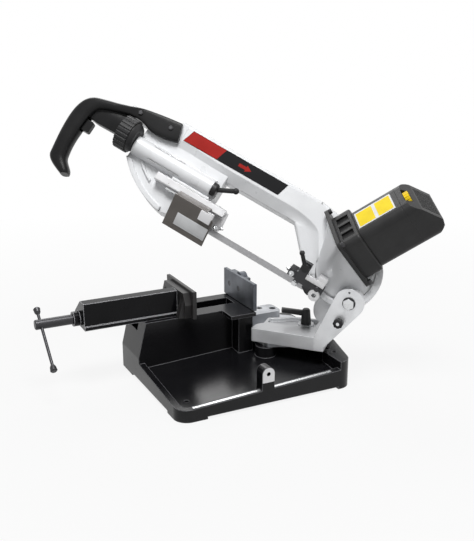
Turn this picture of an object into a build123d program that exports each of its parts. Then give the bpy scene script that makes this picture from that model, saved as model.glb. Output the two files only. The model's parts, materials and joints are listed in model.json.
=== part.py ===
from build123d import *
from math import cos, radians, sin
import os

os.makedirs("parts", exist_ok=True)

# Sizes are in millimetres, +Z is up and the origin is the centre of the bench bolts.

# Clearances
RUN_FIT = 0.05
SLIDE_FIT = 0.3
FREE_GAP = 0.5

# Base tray
BASE_LEFT = -202.0
BASE_RIGHT = 202.0
BASE_FRONT = -167.0
BASE_BACK = 142.5
BASE_NOSE = 172.0
BASE_SHOULDER = -58.0
BASE_CORNER = 28.0
RIM_LOW = 24.0
RIM_RISE_X = 0.048
RIM_RISE_Y = 0.075
RIM_WIDTH = 13.0
TRAY_DEPTH = 11.0
FOOT_SIZE = 58.0
FOOT_LIFT = 5.0
DECK_Z = 58.0
DECK_LEFT = 50.0
DECK_FRONT = 62.0
RAIL_LEFT = 166.0
PAD_LEFT = 148.0
PAD_BACK = -98.0
BENCH_X = 165.0
BENCH_Y = 115.0
BENCH_HOLE_R = 4.5

# Bed and its slot
BED_Z = 126.0
BED_FRONT = 42.5
BED_RIGHT = 45.0
BED_LEAN_X = -184.0
BED_LEAN_Z = 52.0
BED_SLAB = 22.0
BED_WALL = 13.0
SLOT_FRONT = 77.5
SLOT_BACK = 115.5
SHELF_RIGHT = 66.0
SHELF_FRONT = 62.0
TABLE_LEFT = -12.5
TABLE_FRONT = 0.5
TABLE_THICK = 8.0
BLOCK_LEFT = 10.0
BLOCK_FRONT = 12.0

# Stop rod lug on the front rim
LUG_X = -16.5
LUG_Z = 65.0
LUG_R = 13.5
LUG_BORE_R = 4.0
LUG_DEPTH = 24.0

# Ruler on the front rim, in two lengths beside the lug
RULER_START = 30.0
RULER_END = 330.0
RULER_FRONT = 2.5
RULER_WIDE = 6.0
RULER_THICK = 0.8

# Jaws
JAW_FACE = 42.5
JAW_PLATE = 8.0
JAW_HEIGHT = 59.0
JAW_LENGTH = 140.0
FIXED_JAW_Y = 78.5
MOVING_JAW_Y = 87.5
JAW_OPENING = 125.0
JAW_SCREW_SPAN = 44.0
JAW_CASTING = 14.0

# Vise slide, screw and bar
SLIDE_LEFT = -306.5
SLIDE_TOP = 181.0
SLIDE_FRONT = 55.5
SLIDE_RIDGE = 79.5
SLIDE_WALL = 7.0
SCREW_Y = 92.5
SCREW_Z = 141.0
SCREW_R = 10.0
THREAD_R = 8.0
SCREW_END = -394.5
SCREW_TIP = -135.0
COLLAR_R = 15.0
COLLAR_LENGTH = 13.0
NUT_LEFT = -169.0
NUT_LENGTH = 22.0
BAR_X = -382.5
BAR_R = 3.0
BAR_UP = 38.0
BAR_DOWN = 108.0
BAR_LEAN = 38.4
CAP_R = 7.0
CAP_LENGTH = 14.0

# Mitre swivel
MITRE = 45.0
PIVOT_X = 59.5
PIVOT_Y = -15.5
PIVOT_PIN_R = 8.0
SECTOR_THICK = 8.0
ARM_GAP = 0.3
ARM_TOP = 95.0
CLAMP_S = 73.5
CLAMP_T = 50.9
CLAMP_STUD_R = 5.0
SECTOR_BOLTS = ((62, 112), (112, 112), (176, 70), (176, -22))
SECTOR_BOLT_R = 4.0
SECTOR_BOLT_DEPTH = 12.0
MITRE_TO_STRAIGHT = 45.0
MITRE_BEYOND = 15.0
LEVER_REACH = 52.0

# Hinge of the bow
HINGE_REACH = 176.6
HINGE_Z = 175.1
EAR_R = 30.0
EAR_NEAR = 14.0
EAR_FAR = 76.0
EAR_THICK = 9.5
HINGE_BOLT_R = 7.0

# Bow: raise above level, blade line below the hinge, lean of the wheel plane
RAISE = 26.44
BLADE_DROP = 27.6
WHEEL_LEAN = 30.0

# Blade and wheels
BLADE_WIDTH = 13.0
BLADE_THICK = 0.65
WHEEL_R = 67.7
WHEEL_HALF = 8.0
BLADE_GAP = 0.3
TWIST_LEFT = -345.0
TWIST_RIGHT = -95.0
FLAT_RUN = 16.0
IDLER_X = -463.0
DRIVE_X = -38.0
GUIDE_LEFT_X = -325.0
GUIDE_RIGHT_X = -115.0

# Bow casting, measured in the wheel plane
FRAME_BACK = -16.0
WEB_BACK = 11.0
WEB_FRONT = 17.0
RIM_FRONT = 24.0
FRAME_WALL = 4.0
FRAME_TOP = 168.0
BEAM_BOTTOM = 104.0
THROAT_X = -345.0
HOUSING_R = 207.0
HOUSING_LEFT = -545.0
ARC_X = -540.5
ARC_Y = 32.9
ARC_HEADING = 226.5
HOUSING_X = ARC_X - HOUSING_R * cos(radians(ARC_HEADING))
HOUSING_Y = ARC_Y - HOUSING_R * sin(radians(ARC_HEADING))
ARC_START = 222.2
ARC_SWEEP = 38.8
TONGUE_LEFT = -600.0
TONGUE_LOW = 124.0
TONGUE_HIGH = 146.0
RIM_WIDE = 10.0
RIB_INSET = 26.0
DRIVE_R = 74.0
RIDGE_Y = 74.0
RIDGE_HALF = 20.0
RIDGE_FRONT = 43.0
RIDGE_LEFT = HOUSING_LEFT
RIDGE_RIGHT = -357.0
TENSION_Y = 83.0
TENSION_C = 32.5
TENSION_R = 5.0
SLIDE_LOW = 59.0
SLIDE_HIGH = 89.0
SLIDE_FRONT_C = 38.0
KNOB_R = 36.0
KNOB_LEFT = -584.0
KNOB_WIDE = 27.0
KNOB_FLUTES = 24
KNOB_LIP = 6.0
HUB_R = 14.5
AXLE_R = 7.0
SHAFT_R = 8.0
COVER_BACK = -34.0
COVER_SCREWS = (
    (TONGUE_LEFT + 9, 135),
    (HOUSING_LEFT + 8, 100),
    *[
        (HOUSING_X + (HOUSING_R - 9) * cos(radians(turn)), HOUSING_Y + (HOUSING_R - 9) * sin(radians(turn)))
        for turn in (227, 250)
    ],
    (THROAT_X - 7, 60),
    (THROAT_X - 7, 162),
    (-200, 162),
    (-200, 110),
)
PAD_X = -69.0
PAD_Y = -7.0
PAD_FACE = 13.0

# Blade guide arm and guard
BAR_LOW = 30.0
BAR_HIGH = 48.0
BAR_FRONT_C = 40.0
GUARD_Z = 46.0
GUARD_THICK = 2.5
ROLLER_R = 6.5
ROLLER_PIN_R = 3.0
ROLLER_HEIGHT = 8.0
BACK_OFFSET = 14.0
LOCK_PIN_R = 4.0
LOCK_CAP_R = 14.0
LOCK_C = 32.0
LOCK_X = -108.0
LOCK_Y = 20.0

# Motor, measured along and across its own axis
MOTOR_X = -70.8
MOTOR_Y = 87.7
MOTOR_C = 29.4
MOTOR_TURN = 59.0
MOTOR_LEAN = 16.8
MOTOR_ROLL = 43.3
FLANGE_START = 19.0
FLANGE_END = 65.0
BODY_END = 158.0
CAP_END = 212.0
WORM_R = 9.0
GEAR_R = 28.0
GEAR_BACK = 22.0
GEAR_WIDE = 12.0
GEAR_ROOM_END = GEAR_BACK + GEAR_WIDE + 2
SHAFT_END = 40.0
SHAFT_SMALL_R = 6.0
DIAL_R = 18.0
DIAL_WIDE = 10.0

# Handle
HANDLE_MID = 4.0
HANDLE_HALF = 18.0
HANDLE_NECK = TONGUE_LEFT - 1.5
ROOT_FRONT = 32.0
GRIP_ROUND = 9.0
HOOK_ROUND = GRIP_ROUND + 1.5
GRIP_REACH = 120.0
ROOT_ROUND = 5.0

SWIVEL = Plane(
    origin=(PIVOT_X, PIVOT_Y, 0),
    x_dir=(cos(radians(MITRE)), -sin(radians(MITRE)), 0),
    z_dir=(0, 0, 1),
)


def at(plane, x, y, z=0.0):
    return plane.from_local_coords(Vector(x, y, z))


def turned(vector_a, vector_b, angle):
    return vector_a * cos(radians(angle)) + vector_b * sin(radians(angle))


HINGE = at(SWIVEL, HINGE_REACH, 0, HINGE_Z)
BOW = Plane(
    origin=HINGE,
    x_dir=turned(SWIVEL.x_dir, Vector(0, 0, -1), RAISE),
    z_dir=-SWIVEL.y_dir,
)
WHEEL = Plane(
    origin=at(BOW, 0, -BLADE_DROP),
    x_dir=BOW.x_dir,
    z_dir=turned(BOW.z_dir, BOW.y_dir, WHEEL_LEAN),
)
BOW_AXIS = Axis(HINGE, BOW.x_dir)
FRONT_AXIS = Axis(HINGE, WHEEL.z_dir)
LOOP_R = WHEEL_R + BLADE_GAP + BLADE_THICK / 2
WHEEL_Y = LOOP_R
MOTOR_FLAT = turned(WHEEL.x_dir, WHEEL.y_dir, MOTOR_TURN)
MOTOR_AXIS = turned(MOTOR_FLAT, WHEEL.z_dir, MOTOR_LEAN)
MOTOR_SIDE = turned(WHEEL.x_dir, WHEEL.y_dir, MOTOR_TURN - 90)
MOTOR_RISE = turned(WHEEL.z_dir, -MOTOR_FLAT, MOTOR_LEAN)
MOTOR = Plane(
    origin=at(WHEEL, MOTOR_X, MOTOR_Y, MOTOR_C),
    x_dir=turned(MOTOR_SIDE, MOTOR_RISE, MOTOR_ROLL),
    z_dir=MOTOR_AXIS,
)
RIM = Plane(
    origin=(BASE_LEFT, BASE_FRONT, RIM_LOW),
    x_dir=(1, 0, RIM_RISE_X),
    z_dir=(-RIM_RISE_X, -RIM_RISE_Y, 1),
)


def save(builder, name):
    builder.part.label = name
    export_step(builder.part, f"parts/{name}.step")


def span(xs, ys, mode=Mode.ADD):
    with Locations(((xs[0] + xs[1]) / 2, (ys[0] + ys[1]) / 2)):
        Rectangle(xs[1] - xs[0], ys[1] - ys[0], mode=mode)


def brick(plane, xs, ys, zs, mode=Mode.ADD):
    middle = Pos((xs[0] + xs[1]) / 2, (ys[0] + ys[1]) / 2, (zs[0] + zs[1]) / 2)
    with Locations(plane.location * middle):
        Box(xs[1] - xs[0], ys[1] - ys[0], zs[1] - zs[0], mode=mode)


def rod(start, end, radius, mode=Mode.ADD):
    with Locations(Plane(origin=start, z_dir=end - start).location):
        Cylinder(
            radius,
            (end - start).length,
            align=(Align.CENTER, Align.CENTER, Align.MIN),
            mode=mode,
        )


def spin_profile(start, end, points):
    # Turns a profile of (distance along, radius) pairs about the line from start to end.
    axis = (end - start).normalized()
    across = Plane(origin=start, z_dir=axis)
    with BuildPart() as turned_part:
        with BuildSketch(Plane(origin=start, x_dir=axis, z_dir=across.x_dir)):
            with BuildLine():
                Polyline((points[0][0], 0), *points, (points[-1][0], 0), close=True)
            make_face()
        revolve(axis=Axis(start, axis))
    return turned_part.part


# Base casting
with BuildSketch() as base_plan:
    with BuildLine():
        Polyline(
            (BASE_LEFT, BASE_FRONT),
            (BASE_NOSE, BASE_FRONT),
            (BASE_RIGHT, BASE_SHOULDER),
            (BASE_RIGHT, BASE_BACK),
            (BASE_LEFT, BASE_BACK),
            close=True,
        )
    make_face()
    fillet(base_plan.vertices(), BASE_CORNER)

with BuildPart() as tray_space:
    with BuildSketch():
        add(base_plan.sketch)
        offset(amount=-RIM_WIDTH, mode=Mode.REPLACE)
    extrude(amount=BED_Z)
    split(bisect_by=RIM.offset(-TRAY_DEPTH), keep=Keep.TOP)

BED_END = Plane.XZ.offset(-BED_FRONT)
with BuildPart() as base_casting:
    with BuildSketch():
        add(base_plan.sketch)
    extrude(amount=DECK_Z)
    split(bisect_by=RIM, keep=Keep.BOTTOM)
    add(tray_space.part, mode=Mode.SUBTRACT)
    # Rear deck, right rail and front pad that carry the mitre sector
    with BuildSketch():
        span((DECK_LEFT, BASE_RIGHT), (DECK_FRONT, BASE_BACK))
        span((RAIL_LEFT, BASE_RIGHT), (BASE_FRONT, BASE_BACK))
        span((PAD_LEFT, BASE_RIGHT), (BASE_FRONT, PAD_BACK))
        add(base_plan.sketch, mode=Mode.INTERSECT)
    extrude(amount=DECK_Z)
    # Bed with a leaning left end, its shelf for the fixed jaw and the table step
    with BuildSketch(BED_END):
        with BuildLine():
            Polyline(
                (BASE_LEFT, 0),
                (BASE_LEFT, BED_LEAN_Z),
                (BED_LEAN_X, BED_Z),
                (SHELF_RIGHT, BED_Z),
                (SHELF_RIGHT, BED_Z - BED_SLAB),
                (BED_RIGHT, BED_Z - BED_SLAB),
                (BED_RIGHT, 0),
                close=True,
            )
        make_face()
    extrude(amount=BED_FRONT - BASE_BACK)
    brick(Plane.XY, (BED_RIGHT, SHELF_RIGHT + 1), (BED_FRONT - 1, SHELF_FRONT), (90, 127), Mode.SUBTRACT)
    brick(Plane.XY, (TABLE_LEFT, BED_RIGHT), (TABLE_FRONT, BED_FRONT), (BED_Z - TABLE_THICK, BED_Z))
    brick(Plane.XY, (BLOCK_LEFT, BED_RIGHT - 2), (BLOCK_FRONT, BED_FRONT), (8, BED_Z - TABLE_THICK))
    # Hollow under the bed, open at the back
    with BuildSketch(Plane.XZ.offset(-BED_FRONT - BED_WALL)):
        with BuildLine():
            Polyline(
                (BASE_LEFT + BED_WALL, 13),
                (BASE_LEFT + BED_WALL, BED_LEAN_Z),
                (BED_LEAN_X + BED_WALL, BED_Z - BED_SLAB),
                (BED_RIGHT - BED_WALL, BED_Z - BED_SLAB),
                (BED_RIGHT - BED_WALL, 13),
                close=True,
            )
        make_face()
    extrude(amount=BED_FRONT + BED_WALL - BASE_BACK - 1, mode=Mode.SUBTRACT)
    brick(
        Plane.XY,
        (BASE_LEFT - 1, BED_RIGHT - BED_WALL),
        (SLOT_FRONT, SLOT_BACK),
        (100, 127),
        Mode.SUBTRACT,
    )
    # Pivot post and the lug for a length stop rod
    rod(Vector(PIVOT_X, PIVOT_Y, 8), Vector(PIVOT_X, PIVOT_Y, DECK_Z), 22)
    with BuildSketch(Plane.XZ.offset(-BASE_FRONT)):
        with Locations((LUG_X, LUG_Z)):
            Circle(LUG_R)
        span((LUG_X - LUG_R, LUG_X + LUG_R), (20, LUG_Z))
    extrude(amount=-LUG_DEPTH)
    rod(
        Vector(LUG_X, BASE_FRONT - 1, LUG_Z),
        Vector(LUG_X, BASE_FRONT + LUG_DEPTH + 1, LUG_Z),
        LUG_BORE_R,
        Mode.SUBTRACT,
    )
    # Corner feet, bench holes and the pivot bore
    with BuildSketch():
        span((BASE_LEFT + FOOT_SIZE, BASE_RIGHT - FOOT_SIZE), (BASE_FRONT, BASE_BACK))
        span((BASE_LEFT, BASE_RIGHT), (BASE_FRONT + FOOT_SIZE, BASE_BACK - FOOT_SIZE))
    extrude(amount=FOOT_LIFT, mode=Mode.SUBTRACT)
    with Locations((0, 0, DECK_Z)):
        with GridLocations(2 * BENCH_X, 2 * BENCH_Y, 2, 2):
            Hole(BENCH_HOLE_R, depth=DECK_Z)
    rod(Vector(PIVOT_X, PIVOT_Y, 24), Vector(PIVOT_X, PIVOT_Y, DECK_Z + 1), PIVOT_PIN_R, Mode.SUBTRACT)
    with Locations(*[(x, y, DECK_Z) for x, y in SECTOR_BOLTS]):
        Hole(SECTOR_BOLT_R, depth=SECTOR_BOLT_DEPTH)
save(base_casting, "base_casting")

with BuildPart() as ruler_strip:
    with BuildSketch(RIM):
        span((RULER_START, LUG_X - LUG_R - 2 - BASE_LEFT), (RULER_FRONT, RULER_FRONT + RULER_WIDE))
        span((LUG_X + LUG_R + 2 - BASE_LEFT, RULER_END), (RULER_FRONT, RULER_FRONT + RULER_WIDE))
    extrude(amount=RULER_THICK)
save(ruler_strip, "ruler_strip")

# Fixed jaw, its plate and screws
JAW_BACK = JAW_FACE + JAW_PLATE
JAW_MID_Z = BED_Z + JAW_HEIGHT / 2
with BuildPart() as fixed_jaw:
    with BuildSketch(Plane.YZ.offset(JAW_BACK)):
        span((SHELF_FRONT + 2, BASE_BACK - 4), (BED_Z, BED_Z + JAW_HEIGHT - 4))
        with Locations((FIXED_JAW_Y + 12, BED_Z + JAW_HEIGHT - 11)):
            Circle(15)
    extrude(amount=JAW_CASTING)
    for y in (FIXED_JAW_Y, FIXED_JAW_Y + JAW_SCREW_SPAN):
        rod(Vector(JAW_BACK, y, JAW_MID_Z), Vector(JAW_BACK + 10, y, JAW_MID_Z), 3.0, Mode.SUBTRACT)
save(fixed_jaw, "fixed_jaw")


def jaw_plate(face_x, back_x, middle_y, screw_y):
    outward = 1 if face_x > back_x else -1
    with BuildPart() as plate:
        brick(
            Plane.XY,
            (min(face_x, back_x), max(face_x, back_x)),
            (middle_y - JAW_LENGTH / 2, middle_y + JAW_LENGTH / 2),
            (BED_Z + SLIDE_FIT, BED_Z + JAW_HEIGHT),
        )
        chamfer(plate.edges().filter_by(Axis.Y), 1.0)
        for y in screw_y:
            with Locations(Plane(origin=(face_x, y, JAW_MID_Z), z_dir=(outward, 0, 0))):
                CounterSinkHole(3.1, 6.2)
    return plate


def jaw_screws(face_x, back_x, screw_y):
    inward = 1 if face_x < back_x else -1
    with BuildPart() as screws:
        for y in screw_y:
            head = Vector(face_x + inward * 0.4, y, JAW_MID_Z)
            tip = head + Vector(inward * 16, 0, 0)
            add(spin_profile(head, tip, [(0, 5.6), (2.6, 3.0), (16, 3.0)]))
    return screws


FIXED_SCREW_Y = (FIXED_JAW_Y, FIXED_JAW_Y + JAW_SCREW_SPAN)
fixed_jaw_plate = jaw_plate(JAW_FACE, JAW_BACK, FIXED_JAW_Y, FIXED_SCREW_Y)
save(fixed_jaw_plate, "fixed_jaw_plate")
fixed_jaw_screws = jaw_screws(JAW_FACE, JAW_BACK, FIXED_SCREW_Y)
save(fixed_jaw_screws, "fixed_jaw_screws")

# Vise: slide, moving jaw, key, nut, screw and sliding bar
MOVING_FACE = JAW_FACE - JAW_OPENING
MOVING_BACK = MOVING_FACE - JAW_PLATE
SLIDE_RIGHT = MOVING_BACK - JAW_CASTING - 5
SLIDE_FLOOR = BED_Z + SLIDE_FIT
END_PLATE = 9.0
with BuildPart() as vise_slide:
    with BuildSketch(Plane.YZ.offset(SLIDE_LEFT)):
        with BuildLine():
            Polyline(
                (SLIDE_FRONT - 3.5, SLIDE_FLOOR),
                (SLIDE_FRONT - 3.5, SLIDE_FLOOR + 8),
                (SLIDE_FRONT, SLIDE_FLOOR + 8),
                (SLIDE_FRONT, SLIDE_TOP),
                (SLIDE_RIDGE, SLIDE_TOP),
                (SLIDE_RIDGE + 39, SLIDE_TOP - 31),
                (SLIDE_RIDGE + 50, SLIDE_FLOOR),
                close=True,
            )
        make_face()
    extrude(amount=SLIDE_RIGHT - SLIDE_LEFT)
    with BuildSketch(Plane.YZ.offset(SLIDE_LEFT + END_PLATE)):
        with BuildLine():
            Polyline(
                (SLIDE_FRONT + SLIDE_WALL, SLIDE_FLOOR - 1),
                (SLIDE_FRONT + SLIDE_WALL, SLIDE_TOP - SLIDE_WALL),
                (SLIDE_RIDGE - 2, SLIDE_TOP - SLIDE_WALL),
                (SLIDE_RIDGE + 33, SLIDE_TOP - 35),
                (SLIDE_RIDGE + 42, SLIDE_FLOOR - 1),
                close=True,
            )
        make_face()
    extrude(amount=SLIDE_RIGHT - SLIDE_LEFT, mode=Mode.SUBTRACT)
    # Round boss where the screw enters
    rod(
        Vector(SLIDE_LEFT - COLLAR_LENGTH, SCREW_Y, SCREW_Z),
        Vector(SLIDE_LEFT + 1, SCREW_Y, SCREW_Z),
        COLLAR_R,
    )
    rod(
        Vector(SLIDE_LEFT - COLLAR_LENGTH - 1, SCREW_Y, SCREW_Z),
        Vector(SLIDE_LEFT + END_PLATE + 1, SCREW_Y, SCREW_Z),
        THREAD_R + RUN_FIT,
        Mode.SUBTRACT,
    )
save(vise_slide, "vise_slide")

MOVING_SCREW_Y = (MOVING_JAW_Y - 42, MOVING_JAW_Y + 42)
with BuildPart() as moving_jaw:
    with BuildSketch(Plane.YZ.offset(MOVING_BACK - JAW_CASTING)):
        with BuildLine():
            Polyline(
                (MOVING_JAW_Y - 58, SLIDE_FLOOR),
                (MOVING_JAW_Y - 62, JAW_MID_Z),
                (MOVING_JAW_Y - 50, BED_Z + JAW_HEIGHT - 6),
                (MOVING_JAW_Y + 50, BED_Z + JAW_HEIGHT - 6),
                (MOVING_JAW_Y + 62, JAW_MID_Z),
                (MOVING_JAW_Y + 58, SLIDE_FLOOR),
                close=True,
            )
        make_face()
    extrude(amount=JAW_CASTING)
    # Closing wall of the slide and the side ribs
    brick(
        Plane.XY,
        (SLIDE_RIGHT, MOVING_BACK - JAW_CASTING),
        (SLIDE_FRONT - 3, SLIDE_RIDGE + 46),
        (SLIDE_FLOOR, SLIDE_TOP - 34),
    )
    for y in (MOVING_JAW_Y - 54, MOVING_JAW_Y - 43, MOVING_JAW_Y + 46):
        with BuildSketch(Plane.XZ.offset(-y)):
            with BuildLine():
                Polyline(
                    (MOVING_BACK - JAW_CASTING + 1, SLIDE_FLOOR),
                    (SLIDE_RIGHT - 6, SLIDE_FLOOR),
                    (SLIDE_RIGHT - 4, SLIDE_FLOOR + 12),
                    (MOVING_BACK - JAW_CASTING + 1, BED_Z + JAW_HEIGHT - 14),
                    close=True,
                )
            make_face()
        extrude(amount=-5)
    for y in MOVING_SCREW_Y:
        rod(Vector(MOVING_BACK, y, JAW_MID_Z), Vector(MOVING_BACK - 11, y, JAW_MID_Z), 3.0, Mode.SUBTRACT)
save(moving_jaw, "moving_jaw")
moving_jaw_plate = jaw_plate(MOVING_FACE, MOVING_BACK, MOVING_JAW_Y, MOVING_SCREW_Y)
save(moving_jaw_plate, "moving_jaw_plate")
moving_jaw_screws = jaw_screws(MOVING_FACE, MOVING_BACK, MOVING_SCREW_Y)
save(moving_jaw_screws, "moving_jaw_screws")

KEY_LEFT = SLIDE_RIGHT - 22
with BuildPart() as slide_key:
    brick(
        Plane.XY,
        (KEY_LEFT, MOVING_BACK - 4),
        (SLOT_FRONT + SLIDE_FIT, SLOT_BACK - SLIDE_FIT),
        (BED_Z - BED_SLAB - 9, SLIDE_FLOOR),
    )
    brick(
        Plane.XY,
        (KEY_LEFT, MOVING_BACK - 4),
        (SLOT_FRONT - 9, SLOT_BACK + 9),
        (BED_Z - BED_SLAB - 9, BED_Z - BED_SLAB - SLIDE_FIT),
    )
save(slide_key, "slide_key")

with BuildPart() as vise_nut:
    nut_x = (NUT_LEFT, NUT_LEFT + NUT_LENGTH)
    brick(Plane.XY, nut_x, (SLOT_FRONT, SLOT_BACK), (BED_Z - BED_SLAB, BED_Z))
    brick(Plane.XY, nut_x, (SCREW_Y - 11.5, SCREW_Y + 11.5), (BED_Z, SCREW_Z + 11))
    fillet(vise_nut.edges().filter_by(Axis.X).group_by(Axis.Z)[-1], 4.0)
    rod(
        Vector(NUT_LEFT - 1, SCREW_Y, SCREW_Z),
        Vector(NUT_LEFT + NUT_LENGTH + 1, SCREW_Y, SCREW_Z),
        THREAD_R + RUN_FIT,
        Mode.SUBTRACT,
    )
save(vise_nut, "vise_nut")

BAR_DIR = Vector(0, cos(radians(BAR_LEAN)), sin(radians(BAR_LEAN)))
BAR_CENTRE = Vector(BAR_X, SCREW_Y, SCREW_Z)
with BuildPart() as vise_screw:
    head_length = SLIDE_LEFT - COLLAR_LENGTH - SCREW_END
    add(
        spin_profile(
            Vector(SCREW_END, SCREW_Y, SCREW_Z),
            Vector(SCREW_TIP, SCREW_Y, SCREW_Z),
            [
                (0, SCREW_R - 1.5),
                (1.5, SCREW_R),
                (head_length - SLIDE_FIT, SCREW_R),
                (head_length - SLIDE_FIT, THREAD_R),
                (SCREW_TIP - SCREW_END - 2, THREAD_R),
                (SCREW_TIP - SCREW_END, THREAD_R - 2),
            ],
        )
    )
    rod(BAR_CENTRE - BAR_DIR * 20, BAR_CENTRE + BAR_DIR * 20, BAR_R + RUN_FIT, Mode.SUBTRACT)
save(vise_screw, "vise_screw")

with BuildPart() as tommy_bar:
    rod(BAR_CENTRE - BAR_DIR * (BAR_DOWN - 2), BAR_CENTRE + BAR_DIR * (BAR_UP - 2), BAR_R)
save(tommy_bar, "tommy_bar")

with BuildPart() as tommy_caps:
    cap_shape = [(0, CAP_R - 2), (2, CAP_R), (CAP_LENGTH - 4, CAP_R - 1), (CAP_LENGTH, BAR_R + 1)]
    for end in (BAR_CENTRE - BAR_DIR * BAR_DOWN, BAR_CENTRE + BAR_DIR * BAR_UP):
        inner = end + (BAR_CENTRE - end).normalized() * CAP_LENGTH
        add(spin_profile(end, inner, cap_shape))
        rod(end + (inner - end) * (2 / CAP_LENGTH), inner, BAR_R, Mode.SUBTRACT)
save(tommy_caps, "tommy_caps")

# Mitre: fixed sector with its arc slot, pivot pin and screws
CLAMP_RADIUS = (CLAMP_S**2 + CLAMP_T**2) ** 0.5
SECTOR_TOP = DECK_Z + SECTOR_THICK
SLOT_SWEEP = MITRE_TO_STRAIGHT + MITRE_BEYOND + 8
CLAMP_WORLD = at(SWIVEL, CLAMP_S, CLAMP_T)
CLAMP_ARM = CLAMP_WORLD - Vector(PIVOT_X, PIVOT_Y, 0)
CLAMP_HEADING = Vector(1, 0, 0).get_signed_angle(CLAMP_ARM, Vector(0, 0, 1))
SLOT_START = CLAMP_HEADING - MITRE_BEYOND - 4
slot_line = Edge.make_circle(
    CLAMP_RADIUS,
    Plane(origin=(PIVOT_X, PIVOT_Y, 0)),
    SLOT_START,
    SLOT_START + SLOT_SWEEP,
)
with BuildPart() as angle_sector:
    with BuildSketch(Plane.XY.offset(DECK_Z)) as sector_plan:
        with BuildLine():
            Polyline(
                (BED_RIGHT + 2, BLOCK_FRONT + 4),
                (BED_RIGHT + 2, 126),
                (150, 126),
                (188, 92),
                (188, -48),
                (156, -84),
                (PIVOT_X + 16, PIVOT_Y - 26),
                (PIVOT_X - 4, PIVOT_Y - 18),
                close=True,
            )
        make_face()
        fillet(sector_plan.vertices(), 6.0)
        with Locations((PIVOT_X, PIVOT_Y)):
            Circle(PIVOT_PIN_R, mode=Mode.SUBTRACT)
        SlotArc(slot_line, 2 * (CLAMP_STUD_R + FREE_GAP), mode=Mode.SUBTRACT)
    extrude(amount=SECTOR_THICK)
    with BuildSketch(Plane.XY.offset(SECTOR_TOP)) as rim_plan:
        span((BED_RIGHT + 2, 150), (76, 126))
        fillet(rim_plan.vertices(), 12.0)
    extrude(amount=24)
    raised_holes = [(x, y, SECTOR_TOP + 24) for x, y in (*SECTOR_BOLTS[:2], (138.5, 98.5))]
    with Locations(*raised_holes):
        CounterBoreHole(4.2, 7.5, 8.5)
    with Locations(*[(x, y, SECTOR_TOP) for x, y in SECTOR_BOLTS[2:]]):
        CounterBoreHole(4.2, 7.5, 5.0)
save(angle_sector, "angle_sector")

with BuildPart() as sector_screws:
    for x, y in SECTOR_BOLTS:
        top = SECTOR_TOP + 24 if y > 100 else SECTOR_TOP
        seat = 8.5 if y > 100 else 5.0
        head = Vector(x, y, top - 0.5)
        tip = Vector(x, y, DECK_Z - SECTOR_BOLT_DEPTH)
        add(
            spin_profile(
                head,
                tip,
                [
                    (0, 6.0),
                    (1, 6.8),
                    (seat - 0.5, 6.8),
                    (seat - 0.5, SECTOR_BOLT_R),
                    ((head - tip).length, SECTOR_BOLT_R),
                ],
            )
        )
        with BuildSketch(Plane(origin=head)):
            RegularPolygon(3.4, 6)
        extrude(amount=-3, mode=Mode.SUBTRACT)
save(sector_screws, "sector_screws")

PIN_TOP = ARM_TOP - 8
with BuildPart() as pivot_pin:
    rod(Vector(PIVOT_X, PIVOT_Y, 24), Vector(PIVOT_X, PIVOT_Y, PIN_TOP), PIVOT_PIN_R)
    chamfer(pivot_pin.edges().sort_by(Axis.Z)[-1], 1.0)
save(pivot_pin, "pivot_pin")

# Swivel arm with the two hinge ears
ARM_BOTTOM = SECTOR_TOP + ARM_GAP
with BuildPart() as swivel_arm:
    with BuildSketch(SWIVEL.offset(ARM_BOTTOM)) as arm_plan:
        with BuildLine():
            Polyline(
                (-30, -11),
                (108, -EAR_NEAR - EAR_THICK),
                (128, -EAR_NEAR - EAR_THICK),
                (128, EAR_FAR + EAR_THICK),
                (98, EAR_FAR + EAR_THICK),
                (40, 83),
                (-12, 60),
                (-12, 27.5),
                (-24, 17),
                close=True,
            )
        make_face()
        fillet(arm_plan.vertices().filter_by(lambda v: v.X < 120), 4.0)
    extrude(amount=ARM_TOP - ARM_BOTTOM)
    # Shallow recess in the top, with the clamp boss left standing
    with BuildSketch(SWIVEL.offset(ARM_TOP)) as recess_plan:
        with BuildLine():
            Polyline((-6, 34), (34, 30), (98, 34), (98, 78), (42, 77), (-6, 55), close=True)
        make_face()
        fillet(recess_plan.vertices(), 5.0)
        with Locations((CLAMP_S, CLAMP_T)):
            Circle(17, mode=Mode.SUBTRACT)
    extrude(amount=-7, mode=Mode.SUBTRACT)
    for face_t in (-EAR_NEAR, EAR_FAR + EAR_THICK):
        ear_plane = Plane(origin=at(SWIVEL, 0, face_t), x_dir=SWIVEL.x_dir, z_dir=-SWIVEL.y_dir)
        with BuildSketch(ear_plane):
            with Locations((HINGE_REACH, HINGE_Z)):
                Circle(EAR_R)
            with BuildLine():
                Polyline(
                    (110, ARM_BOTTOM + 8),
                    (110, ARM_TOP + 6),
                    (117, ARM_TOP + 21),
                    (128, ARM_BOTTOM + 8),
                    close=True,
                )
            make_face()
            make_hull()
            with Locations((HINGE_REACH, HINGE_Z)):
                Circle(HINGE_BOLT_R, mode=Mode.SUBTRACT)
            with Locations((HINGE_REACH, HINGE_Z + 22)):
                Circle(2.2, mode=Mode.SUBTRACT)
            with Locations((HINGE_REACH - 18, BED_Z + 9)):
                Circle(4, mode=Mode.SUBTRACT)
        extrude(amount=EAR_THICK)
    rod(
        at(SWIVEL, 0, 0, ARM_BOTTOM - 1),
        at(SWIVEL, 0, 0, PIN_TOP + 0.5),
        PIVOT_PIN_R + RUN_FIT,
        Mode.SUBTRACT,
    )
    rod(
        at(SWIVEL, CLAMP_S, CLAMP_T, ARM_BOTTOM - 1),
        at(SWIVEL, CLAMP_S, CLAMP_T, ARM_TOP + 1),
        CLAMP_STUD_R + RUN_FIT,
        Mode.SUBTRACT,
    )
save(swivel_arm, "swivel_arm")

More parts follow.
